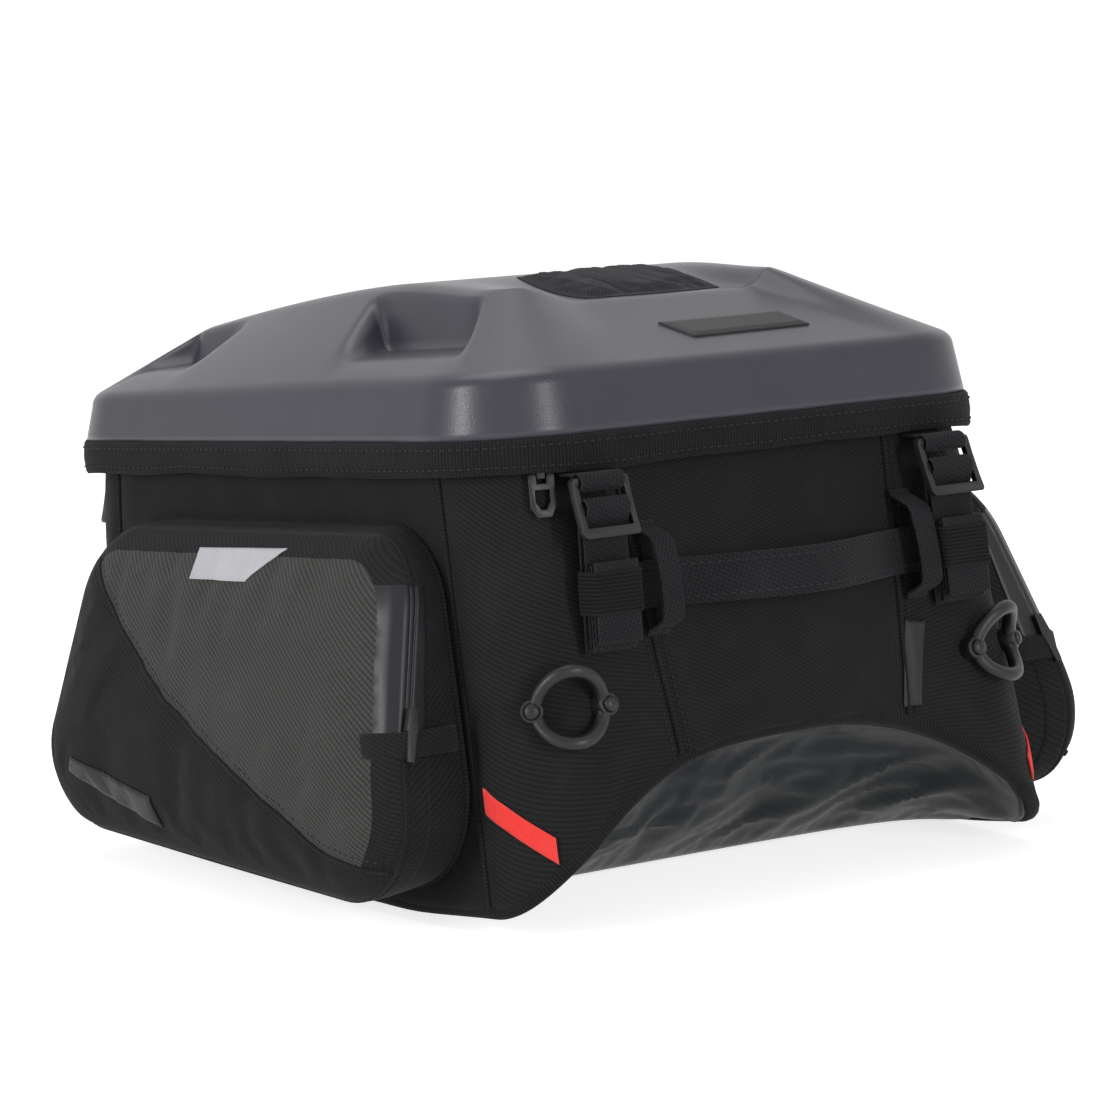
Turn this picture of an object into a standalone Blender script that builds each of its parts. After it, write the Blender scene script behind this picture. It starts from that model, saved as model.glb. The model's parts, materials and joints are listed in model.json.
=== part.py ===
"""Motorcycle tail bag: sewn body, moulded hinged lid, zipped side pockets, fastening straps.

Metres, +Z up. The rear face with the carry handle looks along -Y and the base stands on z = 0.
"""
import math

import bmesh
import bpy
from mathutils import Matrix, Vector

# Body walls
BODY_WIDTH = 0.300           # outside, across the side walls at their top edge
BODY_DEPTH = 0.366           # outside, rear face to front face at the top edge
BODY_HEIGHT = 0.199          # top edge of the walls above the base
BODY_CORNER = 0.044          # corner radius of the walls in plan
BODY_FLARE = 0.006           # side and front walls stand this much further out at the base
REAR_FLARE = 0.026           # and the rear wall this much
REAR_BULGE = 0.008           # how far the stuffed centre panel swells
WALL = 0.004                 # padded fabric
SEAM_TOP_INSET = 0.068       # centre panel's seam inside the side wall, at the top
SEAM_BOTTOM_INSET = 0.090    # and at the base
RIGHT_SPREAD = 0.11          # the loaded right half has slumped wider at the base, as a share
SPREAD_POWER = 0.7           # below 1 the slump starts sooner under the rim
FIT = 0.0003                 # gap between pieces that touch

# Underside
BASE_TILT = 4.4              # degrees by which the rim rises to the rear over the base
ARCH_HEIGHT = 0.080          # rear cut-out that straddles the machine's tail
ARCH_FOOT_HALF = 0.160
ARCH_POWER = 2.6             # 2 is a parabola; more makes the cut-out squarer
SCOOP_DEPTH = 0.130          # how far forward the cut-out runs before the floor is flat
PIPING = 0.004               # radius of the lower edge piping
PIPING_LIFT = 0.0006         # keeps the piping off the ground, so the floor carries the bag
FLOOR = 0.004
BOARD = 0.003
BOARD_MARGIN = 0.012

# Lid
OVERHANG = 0.010             # lid binding beyond the wall
BINDING_DROP = 0.002         # lower edge of the binding under the wall's top edge
BINDING_HEIGHT = 0.016
BINDING_THICK = 0.0035
FLANGE = 0.0025              # inward web of the binding that carries the zip tape
SHELL = 0.004
SHELL_STEP = 0.002           # shell set back from the binding's face
SKIRT_HEIGHT = 0.0282        # at the rear
SKIRT_DRAFT = 0.0045
SHOULDER_FALL = 0.007        # the shoulder is this much lower at the front
SHOULDER_ROUND = 0.005
TOP_RISE = 0.042             # shoulder to the top's crest
TOP_FALL = 0.019             # the top's front edge under the crest
TOP_DIP = 0.0045             # and its rear edge
CREST_SHARE = 0.30           # where the crest lies along the top
DISH_DEPTH = 0.0088          # the rear edge dips this much more in front of the insert
DISH_SPAN = (-0.42, 0.70)    # where the dip is full, as shares of the top's half width
DISH_END = 0.88              # and where it has run out
TOP_SIDE_RUN = 0.065
TOP_REAR_RUN = 0.073
TOP_FRONT_RUN = 0.035
TOP_CORNER = 0.020
NOTCH_LIFT = 0.0100          # notch floor above the shoulder
NOTCHES = ((1.78, 2.30), (2.85, 3.22))  # wall stations between which the sides are notched
NOTCH_MARGIN = 0.05          # the notches are this much longer on the shell's inner side
INSERT_SIZE = (0.094, 0.058)
INSERT_X = 0.012
INSERT_GAP = 0.012           # insert's front edge behind the crest
INSERT_CORNER = 0.012
INSERT_THICK = 0.0030
INSERT_EDGE = 0.004
CROWN_PINCH = 0.88           # the top's inner rings are this much shorter than its outline
CROWN_MIDDLE = 0.10

# Zips
TAPE = 0.0016
TAPE_INSET = 0.001
TAPE_HEIGHT = 0.0067
SLIDER_WIDTH = 0.009
SLIDER_HEIGHT = 0.009
SLIDER_DEPTH = 0.0057
SLIDER_ARC = 22.0            # degrees round the rear left corner where the slider rests
TONGUE_WIDTH = 0.004
TONGUE_DEPTH = 0.003
PULL_PIVOT_DROP = 0.0015     # pull's axis under the binding
PULL_LENGTH = 0.019
PULL_HALF_WIDTH = 0.0062
PULL_THICK = 0.0026

# Fastening straps, in local sizes about the buckle's top bar
STRAP_INSET = 0.0465         # strap's middle inside the side wall
WEBBING = 0.025
WEB_THICK = 0.0012
PIVOT_DROP = 0.0055          # buckle's axis under the binding
PIVOT_OUT = 0.0160           # buckle's axis outside the wall
LOCK_HALF_WIDTH = 0.016
LOCK_RAIL = 0.003
LOCK_THICK = 0.004
LOCK_TILT = 0.30              # outward lean of the frame, as a slope
LOCK_BEND = 0.0015           # the lean starts this far under the axis
LOCK_BARS = ((-0.0020, 0.0022), (-0.0135, -0.0100), (-0.0250, -0.0205))
STRAP_END = 0.078            # strap's lower end under the axis
BUNDLE_TOP = 0.037
BUNDLE_PITCH = 0.0022
KEEPER_TOP = 0.040
KEEPER_HEIGHT = 0.020
KEEPER_THICK = 0.001

# Handle and its loops
HANDLE_DROP = 0.058          # handle's middle under the walls' top edge
HANDLE_X = 0.005             # and to the right of the bag's middle
HANDLE_HEIGHT = 0.022
HANDLE_THICK = 0.0024
HANDLE_END = 0.007           # handle's ends beyond the loops' middles
HANDLE_BOW = 0.026
LOOP_STRAP_GAP = 0.0265      # each loop's middle inside the strap's
LOOP_WIDTH = 0.012
LOOP_FOOT_DROP = 0.081       # loop's ends under the walls' top edge
LOOP_HEAD_DROP = 0.029
LOOP_BOW = 0.0155

# Lash rings
RING_DROP = 0.109            # under the walls' top edge
RING_ARC = 0.016             # along the corner where the ring is centred
RING_PITCH = 0.033           # between the rivets
RING_HALF_HEIGHT = 0.0165
RING_TUBE = 0.0028
RING_LIFT = 0.009
RING_STAND = 0.0038
PAD_RADIUS = 0.0055
PAD_THICK = 0.003
RIVET_RADIUS = 0.0036
RIVET_HEIGHT = 0.0022

# Accent strips at the rear lower corners
STRIP_WIDTH = 0.012
STRIP_THICK = 0.0010
STRIP_START = (1.90, 0.050)  # wall station and height
STRIP_END = (1.42, 0.027)

# Side pockets: outlines on the wall and at the front edge, as depth and height,
# from the rear bottom corner on to the front bottom, front top and rear top
POCKET_ROOT = ((-0.162, 0.003), (0.138, 0.028), (0.120, 0.174), (-0.136, 0.174))
POCKET_EDGE = ((-0.172, 0.001), (0.148, 0.028), (0.126, 0.172), (-0.142, 0.172))
POCKET_TOP_ROUND = 0.040
POCKET_BOTTOM_ROUND = 0.046
POCKET_LEAST_ROUND = 0.012
POCKET_TOP_DEPTH = 0.012
POCKET_DEPTH = 0.038
POCKET_FULL_Z = 0.064        # the pocket has its full depth from here down
POCKET_CROWN = 0.016
POCKET_LIP = 0.003           # straight edge of the front before it domes
POCKET_BROW = 0.008          # the dome's shoulder lies this far inside the outline
POCKET_DOME = 0.040          # and its level middle this far
POCKET_WALL = 0.003
POCKET_TAPE = 0.004
POCKET_FOLD_Z = 0.081
POCKET_SPLIT = 0.0010
POCKET_SLIDER = (0.006, 0.011, 0.004)
POCKET_PULL = (0.005, 0.016, 0.002)

BASE_SLOPE = math.tan(math.radians(BASE_TILT))
SETTLE = Matrix.Rotation(-math.radians(BASE_TILT), 4, "X")
BINDING_LOW = BODY_HEIGHT - BINDING_DROP
BINDING_HIGH = BINDING_LOW + BINDING_HEIGHT
SHELL_LOW = BINDING_HIGH + FIT
SHOULDER_Z = SHELL_LOW + SKIRT_HEIGHT
TEETH_Z = BODY_HEIGHT + FIT + TAPE_HEIGHT
LID_AXIS = Vector((0.0, BODY_DEPTH / 2 + OVERHANG, BINDING_LOW))
CORNER_X = BODY_WIDTH / 2 - BODY_CORNER
CORNER_Y = BODY_DEPTH / 2 - BODY_CORNER
REAR_LEAN = REAR_FLARE / BODY_HEIGHT
FOOT_REAR = -BODY_DEPTH / 2 - REAR_FLARE
SEAM_TOP_HALF = BODY_WIDTH / 2 - SEAM_TOP_INSET
SEAM_BOTTOM_HALF = BODY_WIDTH / 2 - SEAM_BOTTOM_INSET
STRAP_X = BODY_WIDTH / 2 - STRAP_INSET
LOOP_SPAN = STRAP_X - LOOP_STRAP_GAP
HANDLE_HALF = LOOP_SPAN + HANDLE_END
HANDLE_Z = BODY_HEIGHT - HANDLE_DROP
LOOP_BOTTOM = BODY_HEIGHT - LOOP_FOOT_DROP
LOOP_TOP = BODY_HEIGHT - LOOP_HEAD_DROP
RING_Z = BODY_HEIGHT - RING_DROP
SHELL_X = BODY_WIDTH / 2 + OVERHANG - SHELL_STEP
SHELL_Y = BODY_DEPTH / 2 + OVERHANG - SHELL_STEP
TOP_HALF_X = SHELL_X - SKIRT_DRAFT - TOP_SIDE_RUN
TOP_REAR = SKIRT_DRAFT - SHELL_Y + TOP_REAR_RUN
TOP_FRONT = SHELL_Y - SKIRT_DRAFT - TOP_FRONT_RUN
CREST_Y = TOP_REAR + CREST_SHARE * (TOP_FRONT - TOP_REAR)
CREST_Z = SHOULDER_Z + TOP_RISE


def clear_scene():
    """Remove whatever the starting file holds."""
    for found in list(bpy.data.objects):
        bpy.data.objects.remove(found)


def material(name, colour, roughness, metallic=0.0):
    """Return a Principled material with a linear base colour."""
    made = bpy.data.materials.new(name)
    made.use_nodes = True
    shader = made.node_tree.nodes["Principled BSDF"]
    shader.inputs["Base Color"].default_value = (*colour, 1.0)
    shader.inputs["Roughness"].default_value = roughness
    shader.inputs["Metallic"].default_value = metallic
    return made


def slumped(spot):
    """Return a point of the bag drawn upright where the wider right half carries it."""
    if spot.x <= 0.0 or spot.z >= BODY_HEIGHT:
        return spot
    spread = RIGHT_SPREAD * (1.0 - spot.z / BODY_HEIGHT) ** SPREAD_POWER
    return Vector((spot.x * (1.0 + spread), spot.y, spot.z))


def pivot(name, location):
    """Return an empty on a joint's axis, to carry the pieces that move about it."""
    empty = bpy.data.objects.new(name, None)
    empty.location = SETTLE @ slumped(location)
    empty.empty_display_size = 0.02
    PARTS.objects.link(empty)
    return empty


def face_outwards(bm):
    """Turn a closed mesh's faces outward."""
    bmesh.ops.recalc_face_normals(bm, faces=bm.faces)
    if bm.calc_volume(signed=True) < 0:
        bmesh.ops.reverse_faces(bm, faces=bm.faces)


def keep(name, bm, finish, carrier=None):
    """Store a closed mesh, drawn with the rim level, as one named piece of the settled bag."""
    face_outwards(bm)
    for vert in bm.verts:
        vert.co = slumped(vert.co)
    mesh = bpy.data.meshes.new(name)
    bm.to_mesh(mesh)
    bm.free()
    mesh.transform(SETTLE)
    mesh.materials.append(finish)
    piece = bpy.data.objects.new(name, mesh)
    PARTS.objects.link(piece)
    if carrier:
        mesh.transform(Matrix.Translation(-carrier.location))
        piece.parent = carrier
    return piece


def slab(columns, rows, place, ring=False):
    """Return a two-sided sheet: a grid, extruded once, with each corner set by place(u, v, side).

    A ring joins its last column to its first.
    """
    bm = bmesh.new()
    wide, tall = len(columns) - 1, len(rows) - 1
    bmesh.ops.create_grid(bm, x_segments=wide, y_segments=tall, size=1.0)
    back = bmesh.ops.extrude_face_region(bm, geom=bm.faces[:])["geom"]
    behind = {item for item in back if isinstance(item, bmesh.types.BMVert)}
    ends = []
    if ring:
        ends = [face for face in bm.faces
                if all(v.co.x < -0.999 for v in face.verts) or all(v.co.x > 0.999 for v in face.verts)]
    for vert in bm.verts:
        u = columns[round((vert.co.x + 1) / 2 * wide)]
        v = rows[round((vert.co.y + 1) / 2 * tall)]
        vert.co = place(u, v, 1.0 if vert in behind else 0.0)
    if ring:
        bmesh.ops.delete(bm, geom=ends, context="FACES_ONLY")
        bmesh.ops.remove_doubles(bm, verts=bm.verts, dist=1e-6)
    return bm


def loft(rings, cap=False):
    """Return a surface through closed rings of equal count, with the last ring filled if wanted."""
    bm = bmesh.new()
    count, last = len(rings[0]), len(rings) - 1
    bmesh.ops.create_grid(bm, x_segments=count, y_segments=last, size=1.0)
    end = set()
    for vert in bm.verts:
        column = round((vert.co.x + 1) / 2 * count) % count
        row = round((vert.co.y + 1) / 2 * last)
        vert.co = rings[row][column]
        if row == last:
            end.add(vert)
    rim = [edge for edge in bm.edges if edge.is_boundary and all(v in end for v in edge.verts)]
    bmesh.ops.remove_doubles(bm, verts=bm.verts, dist=1e-6)
    if cap:
        bmesh.ops.contextual_create(bm, geom=[edge for edge in rim if edge.is_valid])
    return bm


def sealed(rings):
    """Return a closed solid through rings of equal count, with both end rings filled."""
    bm = loft(rings, cap=True)
    bmesh.ops.contextual_create(bm, geom=[edge for edge in bm.edges if edge.is_boundary])
    return bm


def prism(outline, depth):
    """Return a flat outline, given in space, pushed along the depth vector."""
    bm = bmesh.new()
    face = bm.faces.new([bm.verts.new(point) for point in outline])
    pushed = bmesh.ops.extrude_face_region(bm, geom=[face])["geom"]
    moved = [item for item in pushed if isinstance(item, bmesh.types.BMVert)]
    bmesh.ops.translate(bm, vec=depth, verts=moved)
    return bm


def plate(outlines, thickness):
    """Return a flat plate in local XY with its middle at z = 0; outlines after the first are holes."""
    curve = bpy.data.curves.new("outline", "CURVE")
    curve.dimensions = "2D"
    curve.fill_mode = "BOTH"
    curve.extrude = thickness / 2
    for outline in outlines:
        spline = curve.splines.new("POLY")
        spline.points.add(len(outline) - 1)
        spline.use_cyclic_u = True
        for point, (x, y) in zip(spline.points, outline):
            point.co = (x, y, 0.0, 1.0)
    return evaluated(curve)


def tube(points, radius, sides=3):
    """Return a closed tube through the points."""
    curve = bpy.data.curves.new("tube", "CURVE")
    curve.dimensions = "3D"
    curve.bevel_depth = radius
    curve.bevel_resolution = sides
    spline = curve.splines.new("POLY")
    spline.points.add(len(points) - 1)
    spline.use_cyclic_u = True
    for point, spot in zip(spline.points, points):
        point.co = (*spot, 1.0)
    return evaluated(curve)


def evaluated(curve):
    """Return a curve's filled shape as a welded mesh."""
    holder = bpy.data.objects.new("holder", curve)
    PARTS.objects.link(holder)
    bpy.context.view_layer.update()
    mesh = bpy.data.meshes.new_from_object(holder.evaluated_get(bpy.context.evaluated_depsgraph_get()))
    bpy.data.objects.remove(holder)
    bm = bmesh.new()
    bm.from_mesh(mesh)
    bmesh.ops.remove_doubles(bm, verts=bm.verts, dist=1e-6)
    return bm


def joined(piece, added):
    """Fuse another closed mesh to a piece with a live Boolean, its cutter kept out of sight."""
    face_outwards(added)
    for vert in added.verts:
        vert.co = slumped(vert.co)
    mesh = bpy.data.meshes.new(piece.name + "_tool")
    added.to_mesh(mesh)
    added.free()
    mesh.transform(SETTLE)
    tool = bpy.data.objects.new(piece.name + "_tool", mesh)
    TOOLS.objects.link(tool)
    tool.hide_render = True
    tool.display_type = "WIRE"
    fuse = piece.modifiers.new("Fuse", "BOOLEAN")
    fuse.operation = "UNION"
    fuse.solver = "EXACT"
    fuse.object = tool


def rounded(corners, radii, steps=4, between=0):
    """Return a convex outline with each corner rounded; corners run anticlockwise.

    between is how many points divide each straight side.
    """
    points = []
    count = len(corners)
    for index, corner in enumerate(corners):
        here = Vector(corner)
        back = (Vector(corners[index - 1]) - here).normalized()
        ahead = (Vector(corners[(index + 1) % count]) - here).normalized()
        half = back.angle(ahead) / 2
        radius = radii[index]
        centre = here + (back + ahead).normalized() * (radius / math.sin(half))
        first = here + back * (radius / math.tan(half)) - centre
        turn = math.pi - 2 * half
        for step in range(steps + 1):
            angle = turn * step / steps
            points.append(centre + Matrix.Rotation(angle, 2) @ first)
    divided = []
    for index, point in enumerate(points):
        divided.append(point)
        if (index + 1) % (steps + 1) == 0:
            ahead = points[(index + 1) % len(points)]
            divided += [point.lerp(ahead, (cut + 1) / (between + 1)) for cut in range(between)]
    return divided


def shrunk(corners, inset):
    """Return a convex outline's corners with each side moved inward."""
    moved = []
    count = len(corners)
    for index, corner in enumerate(corners):
        here = Vector(corner)
        back = (Vector(corners[index - 1]) - here).normalized()
        ahead = (Vector(corners[(index + 1) % count]) - here).normalized()
        half = back.angle(ahead) / 2
        moved.append(here + (back + ahead).normalized() * (inset / math.sin(half)))
    return moved


def ribbon(path, thickness):
    """Return the outline of a strip of webbing that follows a flat path."""
    left, right = [], []
    for index, spot in enumerate(path):
        here = Vector(spot)
        before = Vector(path[max(index - 1, 0)])
        after = Vector(path[min(index + 1, len(path) - 1)])
        along = (after - before).normalized()
        across = Vector((-along.y, along.x)) * (thickness / 2)
        left.append(here + across)
        right.append(here - across)
    return left + right[::-1]


def arc(centre, radius, start, end, steps):
    """Return points on an arc, angles in degrees."""
    points = []
    for step in range(steps + 1):
        angle = math.radians(start + (end - start) * step / steps)
        points.append((centre[0] + radius * math.cos(angle), centre[1] + radius * math.sin(angle)))
    return points


def mix(first, last, share):
    """Return the value part of the way from first to last."""
    return first + (last - first) * share


def ease(share):
    """Return 1 falling smoothly to 0 as share goes from 0 to 1."""
    return 0.5 + 0.5 * math.cos(math.pi * min(max(share, 0.0), 1.0))


# Shape of the body. A wall station counts segments round the plan: 0 to 1 is the left half of the
# rear run, 1 to 2 the rear left corner, then left side, corner, front, corner, right side, corner
# and the right half of the rear run, which ends at 9.


def plan(station, half_x, half_y, corner, middle_y=0.0):
    """Return a point on a rounded rectangle."""
    segment, share = divmod(station % 9.0, 1.0)
    inner_x, inner_y = half_x - corner, half_y - corner
    sine, cosine = corner * math.sin(share * math.pi / 2), corner * math.cos(share * math.pi / 2)
    spots = (
        (-inner_x * share, -half_y),
        (-inner_x - sine, -inner_y - cosine),
        (-half_x, mix(-inner_y, inner_y, share)),
        (-inner_x - cosine, inner_y + sine),
        (mix(-inner_x, inner_x, share), half_y),
        (inner_x + sine, inner_y + cosine),
        (half_x, mix(inner_y, -inner_y, share)),
        (inner_x + cosine, -inner_y - sine),
        (inner_x * (1.0 - share), -half_y),
    )
    x, y = spots[int(segment)]
    return Vector((x, y + middle_y))


def flare(z, full=BODY_FLARE):
    """Return how far a wall stands outside its top edge at a height."""
    return full * (1.0 - min(z / BODY_HEIGHT, 1.0))


def footprint(z):
    """Return the walls' half width, half depth and the middle of their depth at a height."""
    rear, front = flare(z, REAR_FLARE), flare(z)
    return BODY_WIDTH / 2 + flare(z), (BODY_DEPTH + rear + front) / 2, (front - rear) / 2


def bulge(x, z):
    """Return how far the rear centre panel swells at a place."""
    if abs(x) >= SEAM_TOP_HALF:
        return 0.0
    across = math.cos(math.pi * x / (2 * SEAM_TOP_HALF)) ** 2
    return REAR_BULGE * across * math.sin(math.pi * min(max(z / BODY_HEIGHT, 0.0), 1.0))


def wall(station, z, out=0.0):
    """Return a point on the wall, out metres outside its face."""
    half_x, half_y, middle_y = footprint(z)
    spot = plan(station, half_x + out, half_y + out, BODY_CORNER + out, middle_y)
    if not 1.0 <= station % 9.0 <= 8.0:
        spot.y -= bulge(spot.x, z)
    return Vector((spot.x, spot.y, z))


def wall_frame(station, z):
    """Return a wall point with the direction square to the wall."""
    along = wall(station - 0.01, z) - wall(station + 0.01, z)
    upward = wall(station, z + 0.001) - wall(station, z - 0.001)
    return wall(station, z), along.cross(upward).normalized()


def side_x(y, z):
    """Return how far the side wall stands from the middle plane, corners included."""
    half_x, half_y, middle_y = footprint(z)
    past = abs(y - middle_y) - (half_y - BODY_CORNER)
    if past <= 0.0:
        return half_x
    return half_x - BODY_CORNER + math.sqrt(max(BODY_CORNER ** 2 - past ** 2, 0.0))


def underside(x, y):
    """Return the height of the bag's underside: flat, with the rear cut-out scooped up."""
    arch = max(1.0 - (abs(x) / ARCH_FOOT_HALF) ** ARCH_POWER, 0.0)
    return BASE_SLOPE * y + ARCH_HEIGHT * arch * ease((y - FOOT_REAR) / SCOOP_DEPTH)


def foot(station, out=0.0):
    """Return the point where the wall's face, or a line beside it, meets the underside."""
    level = wall(station, 0.0, out)
    height = underside(level.x, level.y)
    return wall(station, height, out)


def wall_foot(station):
    """Return the height of the wall's lower edge, clear of the piping."""
    spot, beside = foot(station, -PIPING), foot(station + 0.01, -PIPING)
    run = math.hypot(beside.x - spot.x, beside.y - spot.y)
    slope = math.hypot(1.0, (beside.z - spot.z) / run)
    return spot.z + PIPING_LIFT + PIPING + (PIPING + 4 * FIT) * slope


def round_stations(start, end):
    """Return stations from start to end with corners divided more finely than runs."""
    inside = []
    for segment in range(13):
        cuts = (0.0, 0.25, 0.5, 0.75) if segment % 9 in (1, 3, 5, 7) else (0.0, 0.5)
        inside += [segment + cut for cut in cuts if start < segment + cut < end]
    return [start] + inside + [end]


def build_walls():
    """Make the eight sewn wall panels."""
    rows = [0.0, 0.12, 0.3, 0.5, 0.7, 0.86, 1.0]

    def seam(z):
        return mix(SEAM_BOTTOM_HALF, SEAM_TOP_HALF, z / BODY_HEIGHT)

    def panel(name, stations, mirrored=False, centre=None):
        def place(u, v, side):
            z = mix(wall_foot(stations(u, 0.05)), BODY_HEIGHT, v)
            z = mix(wall_foot(stations(u, z)), BODY_HEIGHT, v)
            spot = wall(stations(u, z), z, -WALL * side)
            return Vector((-spot.x, spot.y, z)) if mirrored else spot
        keep(name, slab(centre or [step / 10 for step in range(11)], rows, place), NYLON)

    def rear_span(z):
        return seam(z) / (CORNER_X + flare(z))

    def rear_corner(u, z):
        start = rear_span(z) + 0.5 * FIT / CORNER_X
        return mix(start, 1.0, u * 2) if u < 0.5 else mix(1.0, 2.0 - FIT / BODY_CORNER, u * 2 - 1)

    def front_corner(u, z):
        end = 4.5 - rear_span(z) / 2 - 0.5 * FIT / CORNER_X
        return mix(4.0, end, u * 2 - 1) if u > 0.5 else mix(3.0 + FIT / BODY_CORNER, 4.0, u * 2)

    def rear_centre(u, z):
        return (u * (rear_span(z) - 0.5 * FIT / CORNER_X)) % 9.0

    def front_centre(u, z):
        return 4.5 + u * (rear_span(z) / 2 - 0.5 * FIT / CORNER_X)

    across = [-1, -0.8, -0.6, -0.4, -0.2, 0, 0.2, 0.4, 0.6, 0.8, 1]
    panel("rear_centre_panel", rear_centre, centre=across)
    panel("front_centre_panel", front_centre, centre=[-1, -0.5, 0, 0.5, 1])
    front_cuts = [0, 0.1, 0.2, 0.3, 0.4, 0.5, 1.0]
    for side, mirrored in (("left", False), ("right", True)):
        panel(f"rear_{side}_panel", rear_corner, mirrored)
        panel(f"front_{side}_panel", front_corner, mirrored, front_cuts)
        panel(f"{side}_side_panel", lambda u, z: mix(2.0, 3.0, u), mirrored, [0, 0.1, 0.2, 0.3, 0.4, 0.7, 1])


def build_base():
    """Make the scooped floor, the board on it and the piping round the lower edge."""
    inset = 2 * PIPING + 3 * FIT
    foot_x, foot_y, middle_y = footprint(0.0)
    half_x, half_y = foot_x - inset, foot_y - inset
    corner = BODY_CORNER - inset

    def width(y):
        past = min(max(abs(y - middle_y) - (half_y - corner), 0.0), corner)
        return half_x - corner + math.sqrt(corner ** 2 - past ** 2)

    bends = [half_y - corner + corner * math.sin(math.radians(a)) for a in (0, 25, 45, 65, 80, 90)]
    rear_bends = [middle_y - bend for bend in bends]
    front_bends = [middle_y + bend for bend in bends]
    inner = FOOT_REAR + SCOOP_DEPTH
    depths = rear_bends + [mix(rear_bends[0], inner, s) for s in (0.25, 0.5, 0.75, 1)]
    depths += [mix(inner, front_bends[0], 0.5)] + front_bends
    across = [-1, -0.9, -0.78, -0.65, -0.52, -0.4, -0.25, 0, 0.25, 0.4, 0.52, 0.65, 0.78, 0.9, 1]

    def floor(u, y, side):
        x = u * width(y)
        height = underside(x, y)
        rear = min(max((inner - y) / (inner - rear_bends[-1]), 0.0), 1.0)
        return Vector((x, y + REAR_LEAN * height * rear, height + FLOOR * side))
    keep("floor_panel", slab(across, sorted(depths), floor), COATED)

    rear = inner + BOARD_MARGIN
    front = middle_y + half_y - BOARD_MARGIN
    side = half_x - BOARD_MARGIN
    outline = rounded([(-side, rear), (side, rear), (side, front), (-side, front)], [0.01, 0.01, 0.03, 0.03])
    board = [(p.x, p.y, BASE_SLOPE * p.y + FLOOR + FIT) for p in outline]
    keep("base_board", prism(board, Vector((0, 0, BOARD))), BOARD_FINISH)

    stations = [0.0, 0.2, 0.35, 0.48, 0.6, 0.7, 0.8, 0.9]
    rear_half = stations + [1 + 0.125 * i for i in range(8)]
    left_half = rear_half + [2.0, 2.1, 2.2, 2.3, 2.4, 2.7] + [3 + 0.125 * i for i in range(8)] + [4.0]
    line = left_half + [4.5] + [9.0 - s for s in left_half[:0:-1]]
    path = []
    for station in line:
        path.append(foot(station, -PIPING) + Vector((0, 0, PIPING + PIPING_LIFT)))
    keep("lower_piping", tube(path, PIPING, 2), BINDING)


def shoulder_height(y):
    """Return the height of the lid's shoulder at a depth."""
    return SHOULDER_Z - SHOULDER_FALL * min(max(y / BODY_DEPTH + 0.5, 0.0), 1.0)


def top_height(x, y):
    """Return the height of the lid's top: a crest that falls to the front, and a dip behind it."""
    if y > CREST_Y:
        return CREST_Z - TOP_FALL * min((y - CREST_Y) / (TOP_FRONT - CREST_Y), 1.0) ** 1.5
    across = x / TOP_HALF_X
    left, right = DISH_SPAN
    dish = min((across + DISH_END) / (left + DISH_END), (DISH_END - across) / (DISH_END - right))
    back = min((CREST_Y - y) / (CREST_Y - TOP_REAR), 1.0)
    return CREST_Z - back * (TOP_DIP + DISH_DEPTH * min(max(dish, 0.0), 1.0))


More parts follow.
